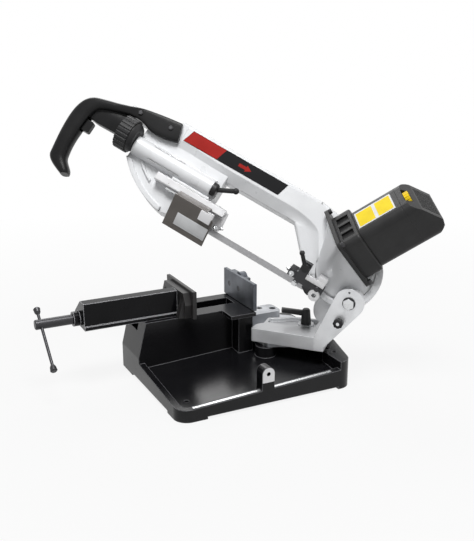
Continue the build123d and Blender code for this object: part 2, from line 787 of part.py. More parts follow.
with BuildPart() as hinge_bolts:
    bolt_shape = [(0, 8), (1.5, 10), (6, 10), (6, 13), (8, 13), (8, HINGE_BOLT_R), (28, HINGE_BOLT_R)]
    for face_t, way in ((-EAR_NEAR - EAR_THICK, 1), (EAR_FAR + EAR_THICK, -1)):
        start = at(SWIVEL, HINGE_REACH, face_t - 8 * way, HINGE_Z)
        add(spin_profile(start, start + SWIVEL.y_dir * way, bolt_shape))
save(hinge_bolts, "hinge_bolts")

KNOB_S = HINGE_REACH - 18
with BuildPart() as stop_knob:
    start = at(SWIVEL, KNOB_S, -EAR_NEAR - EAR_THICK - 16, BED_Z + 9)
    add(
        spin_profile(
            start,
            start + SWIVEL.y_dir,
            [(0, 6), (2, 9), (9, 9), (11, 6), (15.5, 6), (15.5, 4 - RUN_FIT), (31, 4 - RUN_FIT)],
        )
    )
save(stop_knob, "stop_knob")

# Mitre clamp: lever with its stud, and the nut below the slot
LEVER_DIR = SWIVEL.x_dir * -0.949 + SWIVEL.y_dir * -0.314
LEVER_FOOT = at(SWIVEL, CLAMP_S, CLAMP_T, ARM_TOP)
STUD_BOTTOM = 46.0
with BuildPart() as mitre_lever:
    add(
        spin_profile(
            LEVER_FOOT + Vector(0, 0, SLIDE_FIT),
            LEVER_FOOT + Vector(0, 0, 30),
            [(0, 11), (14, 10), (30, 8.5), (33, 6)],
        )
    )
    lever_plane = Plane(
        origin=LEVER_FOOT + Vector(0, 0, 23),
        x_dir=Vector(0, 0, 1),
        z_dir=LEVER_DIR + Vector(0, 0, 0.15),
    )
    with BuildSketch(lever_plane):
        RectangleRounded(12, 12, 4)
    with BuildSketch(lever_plane.offset(LEVER_REACH)):
        RectangleRounded(9, 16, 4)
    loft()
    rod(at(SWIVEL, CLAMP_S, CLAMP_T, STUD_BOTTOM), LEVER_FOOT + Vector(0, 0, 10), CLAMP_STUD_R)
    chamfer(mitre_lever.edges().group_by(Axis.Z)[0], 1.0)
save(mitre_lever, "mitre_lever")

with BuildPart() as mitre_nut:
    rod(
        at(SWIVEL, CLAMP_S, CLAMP_T, DECK_Z - 4),
        at(SWIVEL, CLAMP_S, CLAMP_T, DECK_Z - SLIDE_FIT),
        13,
    )
    with BuildSketch(Plane(origin=at(SWIVEL, CLAMP_S, CLAMP_T, DECK_Z - 11))):
        RegularPolygon(9.2, 6)
    extrude(amount=7)
    rod(
        at(SWIVEL, CLAMP_S, CLAMP_T, DECK_Z - 12),
        at(SWIVEL, CLAMP_S, CLAMP_T, DECK_Z),
        CLAMP_STUD_R + RUN_FIT,
        Mode.SUBTRACT,
    )
save(mitre_nut, "mitre_nut")


# Bow casting: outline of the wheel housings and beam, drawn in the wheel plane
def drive_circle(radius, mode=Mode.ADD):
    with Locations((DRIVE_X, WHEEL_Y)):
        Circle(radius, mode=mode)


with BuildSketch() as frame_plan:
    with BuildLine():
        arc = CenterArc((HOUSING_X, HOUSING_Y), HOUSING_R, ARC_START, ARC_SWEEP)
        Polyline(
            arc @ 1,
            (-395, -14),
            (THROAT_X, 60),
            (THROAT_X, FRAME_TOP),
            (-486, FRAME_TOP),
            (-492, FRAME_TOP - 11),
            (TONGUE_LEFT, TONGUE_HIGH),
            (TONGUE_LEFT, TONGUE_LOW),
            (HOUSING_LEFT - 7, TONGUE_LOW),
            (HOUSING_LEFT, TONGUE_LOW - 7),
            arc @ 0,
        )
    make_face()
    with BuildLine():
        Polyline(
            (THROAT_X, BEAM_BOTTOM),
            (-178, BEAM_BOTTOM),
            (-140, 72),
            (-110, 60),
            (DRIVE_X, WHEEL_Y),
            (-20, 130),
            (-100, 160),
            (-150, FRAME_TOP),
            (THROAT_X, FRAME_TOP),
            close=True,
        )
    make_face()
    drive_circle(DRIVE_R)


def section_plane(x):
    return Plane(origin=at(WHEEL, x, 0), x_dir=WHEEL.y_dir, z_dir=WHEEL.x_dir)


def hinge_rod(z_start, z_end, radius, mode=Mode.ADD):
    rod(at(BOW, 0, 0, z_start), at(BOW, 0, 0, z_end), radius, mode)


def wheel_rod(x, y, c_start, c_end, radius, mode=Mode.ADD):
    rod(at(WHEEL, x, y, c_start), at(WHEEL, x, y, c_end), radius, mode)


def along_rod(y, c, x_start, x_end, radius, mode=Mode.ADD):
    rod(at(WHEEL, x_start, y, c), at(WHEEL, x_end, y, c), radius, mode)


NEAR_FACE = EAR_NEAR - FREE_GAP
BAR_LIP = 5.7
BOSS_R = 26.0
with BuildPart() as near_boss:
    hinge_rod(-25, NEAR_FACE, BOSS_R)
    brick(BOW, (-82, -56), (-16, 2), (-20, PAD_FACE))
    split(bisect_by=WHEEL.offset(WEB_BACK + 1), keep=Keep.TOP)

with BuildPart() as bow_frame:
    with BuildSketch(WHEEL.offset(FRAME_BACK)):
        add(frame_plan.sketch)
    extrude(amount=WEB_FRONT - FRAME_BACK)
    # Raised bar along the beam, with a chamfer under it
    with BuildSketch(section_plane(-470)):
        with BuildLine():
            Polyline(
                (FRAME_TOP, WEB_BACK + 1),
                (FRAME_TOP, RIM_FRONT - 6),
                (FRAME_TOP - 6, RIM_FRONT),
                (130, RIM_FRONT),
                (112, 14.6),
                (112, WEB_BACK + 1),
                close=True,
            )
        make_face()
    extrude(amount=320)
    with BuildSketch(section_plane(THROAT_X)):
        with BuildLine():
            Polyline((100, 8.4), (130, RIM_FRONT), (100, RIM_FRONT), close=True)
        make_face()
    extrude(amount=180, mode=Mode.SUBTRACT)
    # Raised rim round the idler housing, a lower rib inside it and the ridge over the tension slide
    with BuildSketch(WHEEL.offset(WEB_FRONT)):
        with Locations((HOUSING_X, HOUSING_Y)):
            Circle(HOUSING_R)
            Circle(HOUSING_R - RIM_WIDE, mode=Mode.SUBTRACT)
        span((HOUSING_LEFT - 15, -431), (-30, 44), Mode.INTERSECT)
    extrude(amount=RIM_FRONT - WEB_FRONT)
    with BuildSketch(WHEEL.offset(WEB_FRONT)):
        with Locations((HOUSING_X, HOUSING_Y)):
            Circle(HOUSING_R - RIB_INSET)
            Circle(HOUSING_R - RIB_INSET - 5, mode=Mode.SUBTRACT)
        span((HOUSING_LEFT, -480), (4, RIDGE_Y - RIDGE_HALF + 1), Mode.INTERSECT)
    extrude(amount=4)
    with BuildSketch(section_plane(RIDGE_LEFT)) as ridge_section:
        span((RIDGE_Y - RIDGE_HALF, RIDGE_Y + RIDGE_HALF), (WEB_FRONT - 1, RIDGE_FRONT))
        fillet(ridge_section.vertices().group_by(Axis.Y)[-1], RIDGE_HALF - 2)
    extrude(amount=RIDGE_RIGHT - RIDGE_LEFT)
    for y in (BAR_LOW - SLIDE_FIT - BAR_LIP, BAR_HIGH + SLIDE_FIT):
        brick(WHEEL, (-440, -352), (y, y + BAR_LIP), (WEB_FRONT - 1, WEB_FRONT + 17))
    wheel_rod(DRIVE_X, WHEEL_Y, WEB_FRONT - 1, WEB_FRONT + 4, 15)
    # Wheel and blade space, open at the back
    with BuildSketch(WHEEL.offset(FRAME_BACK)):
        add(frame_plan.sketch)
        offset(amount=-FRAME_WALL, mode=Mode.REPLACE)
    extrude(amount=WEB_BACK - FRAME_BACK, mode=Mode.SUBTRACT)
    brick(WHEEL, (-430, -330), (-12, 14), (FRAME_BACK - 1, WEB_BACK - 1), Mode.SUBTRACT)
    brick(WHEEL, (-84, -44), (-8, 8), (FRAME_BACK - 1, WEB_BACK - 1), Mode.SUBTRACT)
    # Space for the tension slide, its axle and its screw
    brick(WHEEL, (-505, -430), (SLIDE_LOW, SLIDE_HIGH), (WEB_FRONT, SLIDE_FRONT_C), Mode.SUBTRACT)
    brick(WHEEL, (-472, -446), (60, 77), (WEB_BACK - 1, WEB_FRONT + 1), Mode.SUBTRACT)
    along_rod(TENSION_Y, TENSION_C, RIDGE_LEFT - 1, -504, TENSION_R + RUN_FIT, Mode.SUBTRACT)
    along_rod(RIDGE_Y, LOCK_C, RIDGE_RIGHT - 19, RIDGE_RIGHT + 1, LOCK_PIN_R + RUN_FIT, Mode.SUBTRACT)
    # Room for the near ear, then the hinge boss and the pad of the right guide
    hinge_rod(NEAR_FACE, 60, EAR_R + 18, Mode.SUBTRACT)
    add(near_boss.part)
    hinge_rod(2.5, NEAR_FACE + 1, HINGE_BOLT_R + RUN_FIT, Mode.SUBTRACT)
    wheel_rod(DRIVE_X, WHEEL_Y, WEB_BACK - 1, WEB_FRONT + 5, SHAFT_R + RUN_FIT, Mode.SUBTRACT)
    rod(at(BOW, PAD_X, PAD_Y, PAD_FACE - 9), at(BOW, PAD_X, PAD_Y, PAD_FACE + 1), 3, Mode.SUBTRACT)
save(bow_frame, "bow_frame")

with BuildPart() as drive_cover:
    wheel_rod(DRIVE_X, WHEEL_Y, COVER_BACK, FRAME_BACK, DRIVE_R)
    wheel_rod(
        DRIVE_X,
        WHEEL_Y,
        COVER_BACK + FRAME_WALL,
        FRAME_BACK + 1,
        DRIVE_R - FRAME_WALL,
        Mode.SUBTRACT,
    )
    hinge_rod(FREE_GAP - EAR_FAR, -50, 18)
    hinge_rod(-EAR_FAR, -49, HINGE_BOLT_R + RUN_FIT, Mode.SUBTRACT)
save(drive_cover, "drive_cover")

with BuildPart() as rear_cover:
    with BuildSketch(WHEEL.offset(FRAME_BACK - 6)):
        add(frame_plan.sketch)
        drive_circle(DRIVE_R + FREE_GAP, Mode.SUBTRACT)
    extrude(amount=6)
    for x, y in COVER_SCREWS:
        wheel_rod(x, y, FRAME_BACK - 7, FRAME_BACK + 1, 2.5, Mode.SUBTRACT)
save(rear_cover, "rear_cover")

with BuildPart() as beam_strip:
    with BuildSketch(WHEEL.offset(RIM_FRONT)):
        with BuildLine():
            Polyline((-456, 160.5), (-228, 160.5), (-236, 132), (-465, 132), close=True)
        make_face()
    extrude(amount=1)
save(beam_strip, "beam_strip")

# Blade: straight run between the guides, twisted runs, wheel arcs and return run
def twisted_run(guide_end, wheel_end):
    with BuildPart() as run:
        for step in range(4):
            middle = at(BOW, guide_end + (wheel_end - guide_end) * step / 3, -BLADE_DROP)
            across = turned(BOW.y_dir, BOW.z_dir, (90 - WHEEL_LEAN) * step / 3)
            with BuildSketch(Plane(origin=middle, x_dir=across, z_dir=BOW.x_dir)):
                Rectangle(BLADE_WIDTH, BLADE_THICK)
        loft(ruled=True)
    return run.part


def half_ring(wheel_x, side):
    with BuildSketch() as ring:
        with Locations((wheel_x, WHEEL_Y)):
            Circle(LOOP_R + BLADE_THICK / 2)
            Circle(LOOP_R - BLADE_THICK / 2, mode=Mode.SUBTRACT)
        span(sorted((wheel_x, wheel_x + side * 100)), (-10, 150), Mode.INTERSECT)
    return ring.sketch


left_twist = twisted_run(TWIST_LEFT, IDLER_X + FLAT_RUN)
right_twist = twisted_run(TWIST_RIGHT, DRIVE_X - FLAT_RUN)
idler_arc = half_ring(IDLER_X, -1)
drive_arc = half_ring(DRIVE_X, 1)
with BuildPart() as blade:
    brick(
        BOW,
        (TWIST_LEFT, TWIST_RIGHT),
        (-BLADE_DROP - BLADE_WIDTH / 2, -BLADE_DROP + BLADE_WIDTH / 2),
        (-BLADE_THICK / 2, BLADE_THICK / 2),
    )
    add(left_twist)
    add(right_twist)
    with BuildSketch(WHEEL.offset(-BLADE_WIDTH / 2)):
        add(idler_arc)
        add(drive_arc)
        for xs in ((IDLER_X, IDLER_X + FLAT_RUN), (DRIVE_X - FLAT_RUN, DRIVE_X)):
            span(xs, (-BLADE_THICK / 2, BLADE_THICK / 2))
        span((IDLER_X, DRIVE_X), (2 * LOOP_R - BLADE_THICK / 2, 2 * LOOP_R + BLADE_THICK / 2))
    extrude(amount=BLADE_WIDTH)
save(blade, "blade")


# Wheels: dished disc with a hub and a bore
def band_wheel(x, bore_r):
    with BuildPart() as wheel:
        wheel_rod(x, WHEEL_Y, -WHEEL_HALF, WHEEL_HALF, WHEEL_R)
        for c_start, c_end in ((-WHEEL_HALF - 1, -3), (3, WHEEL_HALF + 1)):
            with BuildSketch(WHEEL.offset(c_start)):
                with Locations((x, WHEEL_Y)):
                    Circle(WHEEL_R - 8)
                    Circle(20, mode=Mode.SUBTRACT)
            extrude(amount=c_end - c_start, mode=Mode.SUBTRACT)
        with BuildSketch(WHEEL.offset(-4)):
            with Locations((x, WHEEL_Y)):
                with PolarLocations(40, 5):
                    Circle(11)
        extrude(amount=8, mode=Mode.SUBTRACT)
        wheel_rod(x, WHEEL_Y, -WHEEL_HALF - 1, WHEEL_HALF + 1, bore_r, Mode.SUBTRACT)
    return wheel


idler_wheel = band_wheel(IDLER_X, AXLE_R + RUN_FIT)
save(idler_wheel, "idler_wheel")
drive_wheel = band_wheel(DRIVE_X, SHAFT_R)
save(drive_wheel, "drive_wheel")

with BuildPart() as drive_shaft:
    wheel_rod(DRIVE_X, WHEEL_Y, -WHEEL_HALF - 2, SHAFT_END, SHAFT_R)
save(drive_shaft, "drive_shaft")

with BuildPart() as worm_gear:
    with BuildSketch(WHEEL.offset(GEAR_BACK)):
        drive_circle(GEAR_R)
        with Locations((DRIVE_X, WHEEL_Y)):
            with PolarLocations(GEAR_R, 30):
                Rectangle(4, 2.6, mode=Mode.SUBTRACT)
        drive_circle(SHAFT_R, Mode.SUBTRACT)
    extrude(amount=GEAR_WIDE)
save(worm_gear, "worm_gear")

# Blade tension: slide with the idler axle, screw and fluted knob
with BuildPart() as tension_slide:
    brick(
        WHEEL,
        (-490, -444),
        (SLIDE_LOW + SLIDE_FIT, SLIDE_HIGH - SLIDE_FIT),
        (WEB_FRONT + SLIDE_FIT, SLIDE_FRONT_C - SLIDE_FIT),
    )
    wheel_rod(IDLER_X, WHEEL_Y, WEB_FRONT, 30, AXLE_R, Mode.SUBTRACT)
save(tension_slide, "tension_slide")

with BuildPart() as idler_axle:
    wheel_rod(IDLER_X, WHEEL_Y, -WHEEL_HALF - 2, 30, AXLE_R)
save(idler_axle, "idler_axle")

KNOB_RIGHT = KNOB_LEFT + KNOB_WIDE
SCREW_SEAT = KNOB_RIGHT - 12
with BuildPart() as tension_knob:
    with BuildSketch(section_plane(KNOB_LEFT)):
        with Locations((TENSION_Y, TENSION_C)):
            Circle(KNOB_R)
            with PolarLocations(KNOB_R + 0.6, KNOB_FLUTES):
                Circle(2.2, mode=Mode.SUBTRACT)
    extrude(amount=KNOB_WIDE)
    along_rod(TENSION_Y, TENSION_C, KNOB_LEFT - 1, KNOB_LEFT + 7, KNOB_R - KNOB_LIP, Mode.SUBTRACT)
    along_rod(TENSION_Y, TENSION_C, KNOB_RIGHT, RIDGE_LEFT - FREE_GAP, HUB_R)
    along_rod(TENSION_Y, TENSION_C, SCREW_SEAT, RIDGE_LEFT, TENSION_R, Mode.SUBTRACT)
save(tension_knob, "tension_knob")

with BuildPart() as tension_screw:
    along_rod(TENSION_Y, TENSION_C, SCREW_SEAT, -490.5, TENSION_R)
save(tension_screw, "tension_screw")

# Blade guides: pins, rollers and the blocks that carry them
ROLLER_Z = BLADE_THICK / 2 + BLADE_GAP + ROLLER_R
ROLLER_Y = -BLADE_DROP
BACK_Y = -BLADE_DROP + BLADE_WIDTH / 2 + BLADE_GAP + ROLLER_R
HEAD_BOTTOM = -16.0
HEAD_HALF = 14.0


def pin_lines(guide_x, side):
    for way in (-1, 1):
        start = at(BOW, guide_x, ROLLER_Y - ROLLER_HEIGHT / 2 - 1.5, way * ROLLER_Z)
        yield start, at(BOW, guide_x, HEAD_BOTTOM + 8, way * ROLLER_Z)
    back_x = guide_x + BACK_OFFSET * side
    yield at(BOW, back_x, BACK_Y, -HEAD_HALF), at(BOW, back_x, BACK_Y, HEAD_HALF)


def head_space(guide_x, side):
    back_x = guide_x + BACK_OFFSET * side
    notch_half = ROLLER_R + 1.2
    brick(
        BOW,
        (back_x - notch_half, back_x + notch_half),
        (HEAD_BOTTOM - 10, BACK_Y + notch_half),
        (-ROLLER_HEIGHT / 2 - FREE_GAP, ROLLER_HEIGHT / 2 + FREE_GAP),
        Mode.SUBTRACT,
    )
    for start, end in pin_lines(guide_x, side):
        rod(start, end, ROLLER_PIN_R, Mode.SUBTRACT)


def roller(start, end):
    with BuildPart() as ring:
        rod(start, end, ROLLER_R)
        rod(start * 1.5 - end * 0.5, end * 1.5 - start * 0.5, ROLLER_PIN_R + RUN_FIT, Mode.SUBTRACT)
    return ring


for end_name, guide_x, side in (("left", GUIDE_LEFT_X, 1), ("right", GUIDE_RIGHT_X, -1)):
    with BuildPart() as roller_pins:
        for start, end in pin_lines(guide_x, side):
            rod(start, end, ROLLER_PIN_R)
    save(roller_pins, f"{end_name}_roller_pins")
    for way_name, way in (("far", -1), ("near", 1)):
        side_roller = roller(
            at(BOW, guide_x, ROLLER_Y - ROLLER_HEIGHT / 2, way * ROLLER_Z),
            at(BOW, guide_x, ROLLER_Y + ROLLER_HEIGHT / 2, way * ROLLER_Z),
        )
        save(side_roller, f"{end_name}_{way_name}_roller")
    back_roller = roller(
        at(BOW, guide_x + BACK_OFFSET * side, BACK_Y, -ROLLER_HEIGHT / 2),
        at(BOW, guide_x + BACK_OFFSET * side, BACK_Y, ROLLER_HEIGHT / 2),
    )
    save(back_roller, f"{end_name}_back_roller")

with BuildPart() as guide_bar:
    brick(WHEEL, (-470, -306), (BAR_LOW, BAR_HIGH), (WEB_FRONT + SLIDE_FIT, BAR_FRONT_C))
    chamfer(guide_bar.edges().filter_by(BOW_AXIS).group_by(FRONT_AXIS)[-1], 2.0)
    brick(BOW, (GUIDE_LEFT_X - 13, GUIDE_LEFT_X + 22), (HEAD_BOTTOM, 20), (-HEAD_HALF, HEAD_HALF))
    head_space(GUIDE_LEFT_X, 1)
save(guide_bar, "guide_bar")

with BuildPart() as blade_guard:
    with BuildSketch(BOW.offset(GUARD_Z)):
        with BuildLine():
            Polyline((-407, -46), (-312, -46), (-312, 10), (-330, 24), (-407, 24), close=True)
        make_face()
    extrude(amount=GUARD_THICK)
    brick(BOW, (-407, -332), (24 - GUARD_THICK, 24), (18.6, GUARD_Z))
    brick(BOW, (-407, -407 + GUARD_THICK), (-46, 24), (GUARD_Z - 14, GUARD_Z))
save(blade_guard, "blade_guard")

with BuildPart() as guide_lever:
    along_rod(RIDGE_Y, LOCK_C, RIDGE_RIGHT + SLIDE_FIT, RIDGE_RIGHT + 12, LOCK_CAP_R)
    chamfer(guide_lever.edges().group_by(BOW_AXIS)[-1], 3.0)
    along_rod(RIDGE_Y, LOCK_C, RIDGE_RIGHT - 18, RIDGE_RIGHT + 1, LOCK_PIN_R)
    lever_root = at(WHEEL, RIDGE_RIGHT + 6, RIDGE_Y, LOCK_C)
    lever_tip = lever_root + BOW.x_dir * 41 + BOW.y_dir * 20
    rod(lever_root, lever_tip, 5)
    with Locations(lever_tip):
        Sphere(6.5)
save(guide_lever, "guide_lever")

POST_FACE = PAD_FACE + 11
with BuildPart() as right_guide_block:
    brick(BOW, (GUIDE_RIGHT_X - 22, GUIDE_RIGHT_X + 13), (HEAD_BOTTOM, -1), (-HEAD_HALF, HEAD_HALF))
    brick(BOW, (-118, -99), (HEAD_BOTTOM, 30), (PAD_FACE - 1, POST_FACE))
    brick(BOW, (-118, -56), (HEAD_BOTTOM, 2), (PAD_FACE, POST_FACE))
    head_space(GUIDE_RIGHT_X, -1)
    rod(at(BOW, PAD_X, PAD_Y, PAD_FACE - 1), at(BOW, PAD_X, PAD_Y, POST_FACE + 1), 3, Mode.SUBTRACT)
    rod(
        at(BOW, LOCK_X, LOCK_Y, 0),
        at(BOW, LOCK_X, LOCK_Y, POST_FACE + 1),
        LOCK_PIN_R + RUN_FIT,
        Mode.SUBTRACT,
    )
save(right_guide_block, "right_guide_block")

with BuildPart() as right_guide_lever:
    rod(at(BOW, LOCK_X, LOCK_Y, PAD_FACE), at(BOW, LOCK_X, LOCK_Y, POST_FACE + 2), LOCK_PIN_R)
    rod(at(BOW, LOCK_X, LOCK_Y, POST_FACE + SLIDE_FIT), at(BOW, LOCK_X, LOCK_Y, POST_FACE + 10), 8)
    rod(at(BOW, LOCK_X, LOCK_Y, POST_FACE + 6), at(BOW, LOCK_X - 20, LOCK_Y + 25, POST_FACE + 8), 4)
    with Locations(at(BOW, LOCK_X - 20, LOCK_Y + 25, POST_FACE + 8)):
        Sphere(5.5)
save(right_guide_lever, "right_guide_lever")

# Gearbox between the drive housing and the motor
with BuildPart() as gearbox_housing:
    with BuildSketch(WHEEL.offset(WEB_FRONT)):
        with Locations((-46, 74)):
            Circle(60)
    extrude(amount=130)
    brick(MOTOR, (-60, 58), (-60, 60), (-80, FLANGE_START), Mode.INTERSECT)
    wheel_rod(DRIVE_X, WHEEL_Y, WEB_FRONT - 1, GEAR_ROOM_END, GEAR_R + 2, Mode.SUBTRACT)
    wheel_rod(DRIVE_X, WHEEL_Y, WEB_FRONT, SHAFT_END + 2, SHAFT_R + FREE_GAP, Mode.SUBTRACT)
    rod(at(MOTOR, 0, 0, -22), at(MOTOR, 0, 0, FLANGE_START + 1), WORM_R + 2, Mode.SUBTRACT)
    hinge_rod(NEAR_FACE - 1, 70, EAR_R + 11, Mode.SUBTRACT)
    hinge_rod(-30, NEAR_FACE, BOSS_R, Mode.SUBTRACT)
    brick(BOW, (-140, -50), (-40, 2 + FREE_GAP), (-5, 40), Mode.SUBTRACT)
save(gearbox_housing, "gearbox_housing")

# Motor: flange, housing, end cap, speed dial and rotor
PLATE_HALF = 64.0
COLLAR_MID = (2.0, 2.0)
COLLAR_SIZE = 104.0
FLANGE_BOLTS = ((-57, -57), (57, -57), (57, 57))
with BuildPart() as frame_room:
    with BuildSketch(WHEEL.offset(-60)):
        add(frame_plan.sketch)
        offset(amount=FREE_GAP, mode=Mode.REPLACE)
    extrude(amount=60 + WEB_FRONT + FREE_GAP)

with BuildPart() as motor_flange:
    with BuildSketch(MOTOR.offset(FLANGE_START)):
        RectangleRounded(2 * PLATE_HALF, 2 * PLATE_HALF, 10)
    extrude(amount=8)
    with BuildSketch(MOTOR.offset(FLANGE_START)):
        with Locations(COLLAR_MID):
            RectangleRounded(COLLAR_SIZE, COLLAR_SIZE, 12)
    extrude(amount=FLANGE_END - FLANGE_START)
    fillet(motor_flange.edges().group_by(Axis(HINGE, MOTOR.z_dir))[-1], 4.0)
    # Sunk panel with two ribs in the side towards the beam
    for p in (-30, -6, 18):
        brick(
            MOTOR,
            (p, p + 18),
            (COLLAR_MID[1] - COLLAR_SIZE / 2 - 1, COLLAR_MID[1] - COLLAR_SIZE / 2 + 5),
            (FLANGE_START + 13, FLANGE_END - 8),
            Mode.SUBTRACT,
        )
    add(frame_room.part, mode=Mode.SUBTRACT)
    wheel_rod(DRIVE_X, WHEEL_Y, WEB_FRONT, GEAR_ROOM_END, GEAR_R + 2, Mode.SUBTRACT)
    rod(at(MOTOR, 0, 0, FLANGE_START - 1), at(MOTOR, 0, 0, FLANGE_END + 1), 14, Mode.SUBTRACT)
    for p, q in FLANGE_BOLTS:
        rod(at(MOTOR, p, q, FLANGE_START - 1), at(MOTOR, p, q, FLANGE_START + 9), 3, Mode.SUBTRACT)
save(motor_flange, "motor_flange")

MOTOR_MID = (2.0, 5.0)
BODY_P = 88.0
BODY_Q = 102.0
BODY_ROUND = 18.0
with BuildPart() as motor_housing:
    with BuildSketch(MOTOR.offset(FLANGE_END)):
        with Locations(MOTOR_MID):
            RectangleRounded(BODY_P, BODY_Q, BODY_ROUND)
    extrude(amount=BODY_END - FLANGE_END)
    rod(at(MOTOR, 0, 0, FLANGE_END - 1), at(MOTOR, 0, 0, BODY_END + 1), 36, Mode.SUBTRACT)
    add(frame_room.part, mode=Mode.SUBTRACT)
save(motor_housing, "motor_housing")

DIAL_P = 3.0
DIAL_Q = -28.0
DIAL_A = 170.0
DIAL_PIN_R = 3.0
BODY_LOW_Q = MOTOR_MID[1] - BODY_Q / 2
BODY_HIGH_Q = MOTOR_MID[1] + BODY_Q / 2
VENT_START = (-26.0, 188.0)
VENT_END = (20.0, CAP_END)
CAP_SIDE = Plane(origin=MOTOR.origin, x_dir=MOTOR.y_dir, z_dir=MOTOR.x_dir)
vent_slope = MOTOR.y_dir * (VENT_END[0] - VENT_START[0]) + MOTOR.z_dir * (VENT_END[1] - VENT_START[1])
VENT = Plane(
    origin=at(MOTOR, MOTOR_MID[0], (VENT_START[0] + VENT_END[0]) / 2, (VENT_START[1] + VENT_END[1]) / 2),
    x_dir=vent_slope,
    z_dir=MOTOR.x_dir.cross(vent_slope),
)
with BuildPart() as motor_end_cap:
    with BuildSketch(MOTOR.offset(BODY_END)):
        with Locations(MOTOR_MID):
            RectangleRounded(BODY_P, BODY_Q, BODY_ROUND)
    extrude(amount=CAP_END - BODY_END)
    # Leaning end: dial shoulder, vent face, crown and far slope
    with BuildSketch(CAP_SIDE):
        with BuildLine():
            Polyline(
                (BODY_LOW_Q - 1, BODY_END - 1),
                (BODY_LOW_Q - 1, DIAL_A),
                VENT_START,
                VENT_END,
                (VENT_END[0] + 14, CAP_END - 3),
                (BODY_HIGH_Q + 1, CAP_END - 24),
                (BODY_HIGH_Q + 1, BODY_END - 1),
                close=True,
            )
        make_face()
    extrude(amount=BODY_P, both=True, mode=Mode.INTERSECT)
    with BuildSketch(VENT):
        with GridLocations(1, 5.2, 1, 13):
            SlotOverall(44, 2.6)
    extrude(amount=-5, mode=Mode.SUBTRACT)
    rod(at(MOTOR, 0, 0, BODY_END - 1), at(MOTOR, 0, 0, 183), SHAFT_SMALL_R + RUN_FIT, Mode.SUBTRACT)
    brick(
        MOTOR,
        (DIAL_P - DIAL_R - FREE_GAP, DIAL_P + DIAL_R + FREE_GAP),
        (-60, DIAL_Q + DIAL_R + FREE_GAP),
        (DIAL_A - FREE_GAP, DIAL_A + DIAL_WIDE + FREE_GAP),
        Mode.SUBTRACT,
    )
    rod(
        at(MOTOR, DIAL_P, DIAL_Q, DIAL_A - 6),
        at(MOTOR, DIAL_P, DIAL_Q, DIAL_A + DIAL_WIDE),
        DIAL_PIN_R + RUN_FIT,
        Mode.SUBTRACT,
    )
save(motor_end_cap, "motor_end_cap")

with BuildPart() as speed_dial:
    with BuildSketch(MOTOR.offset(DIAL_A)):
        with Locations((DIAL_P, DIAL_Q)):
            Circle(DIAL_R)
            with PolarLocations(DIAL_R, 18):
                Circle(1.1, mode=Mode.SUBTRACT)
    extrude(amount=DIAL_WIDE)
    rod(at(MOTOR, DIAL_P, DIAL_Q, DIAL_A - 5), at(MOTOR, DIAL_P, DIAL_Q, DIAL_A + 1), DIAL_PIN_R)
save(speed_dial, "speed_dial")

with BuildPart() as motor_rotor:
    add(
        spin_profile(
            at(MOTOR, 0, 0, -20),
            at(MOTOR, 0, 0, 180),
            [
                (0, SHAFT_SMALL_R),
                (10, SHAFT_SMALL_R),
                (10, WORM_R),
                (36, WORM_R),
                (36, SHAFT_SMALL_R),
                (100, SHAFT_SMALL_R),
                (100, 26),
                (160, 26),
                (160, SHAFT_SMALL_R),
                (170, SHAFT_SMALL_R),
                (170, 34),
                (176, 34),
                (176, SHAFT_SMALL_R),
                (200, SHAFT_SMALL_R),
            ],
        )
    )
save(motor_rotor, "motor_rotor")

# Handle in two halves, with its trigger
with BuildSketch() as handle_plan:
    with BuildLine():
        outer = Spline(
            (-494, 160),
            (HANDLE_NECK, 150),
            (HANDLE_NECK - 53, 136),
            (HANDLE_NECK - 91, 111),
            (HANDLE_NECK - 109, 72),
            (HANDLE_NECK - 109, 25),
            (HANDLE_NECK - 99, -30),
        )
        hook = Polyline(
            outer @ 1,
            (HANDLE_NECK - 92, -43),
            (HANDLE_NECK - 52, -59),
            (HANDLE_NECK - 38, -50),
            (HANDLE_NECK - 44, -34),
        )
        inner = Spline(
            hook @ 1,
            (HANDLE_NECK - 58, -14),
            (HANDLE_NECK - 64, 22),
            (HANDLE_NECK - 70, 60),
            (HANDLE_NECK - 67, 86),
            (HANDLE_NECK - 50, 102),
            (HANDLE_NECK - 26, 112),
            (HANDLE_NECK - 4, 120),
        )
        Polyline(
            inner @ 1,
            (HOUSING_LEFT - 42, TONGUE_LOW - 2),
            (HOUSING_LEFT - 3, TONGUE_LOW - 2),
            (HOUSING_LEFT + 8, 116),
            (-481, 120),
            (-473, 137),
            (-485, 159),
            outer @ 0,
        )
    make_face()
    fillet(handle_plan.vertices().filter_by(lambda corner: corner.Y < 0), HOOK_ROUND)

TRIGGER_X = (HANDLE_NECK - 76, HANDLE_NECK - 52)
TRIGGER_Y = (46, 72)
TRIGGER_C = (-3.5, 11.5)
HANDLE_SCREWS = ((-500, 140), (-572, 136))


def trigger_slot():
    brick(
        WHEEL,
        (TRIGGER_X[0] - 6, TRIGGER_X[1] + 4),
        (TRIGGER_Y[0] - FREE_GAP, TRIGGER_Y[1] + FREE_GAP),
        (TRIGGER_C[0] - FREE_GAP, TRIGGER_C[1] + FREE_GAP),
        Mode.SUBTRACT,
    )


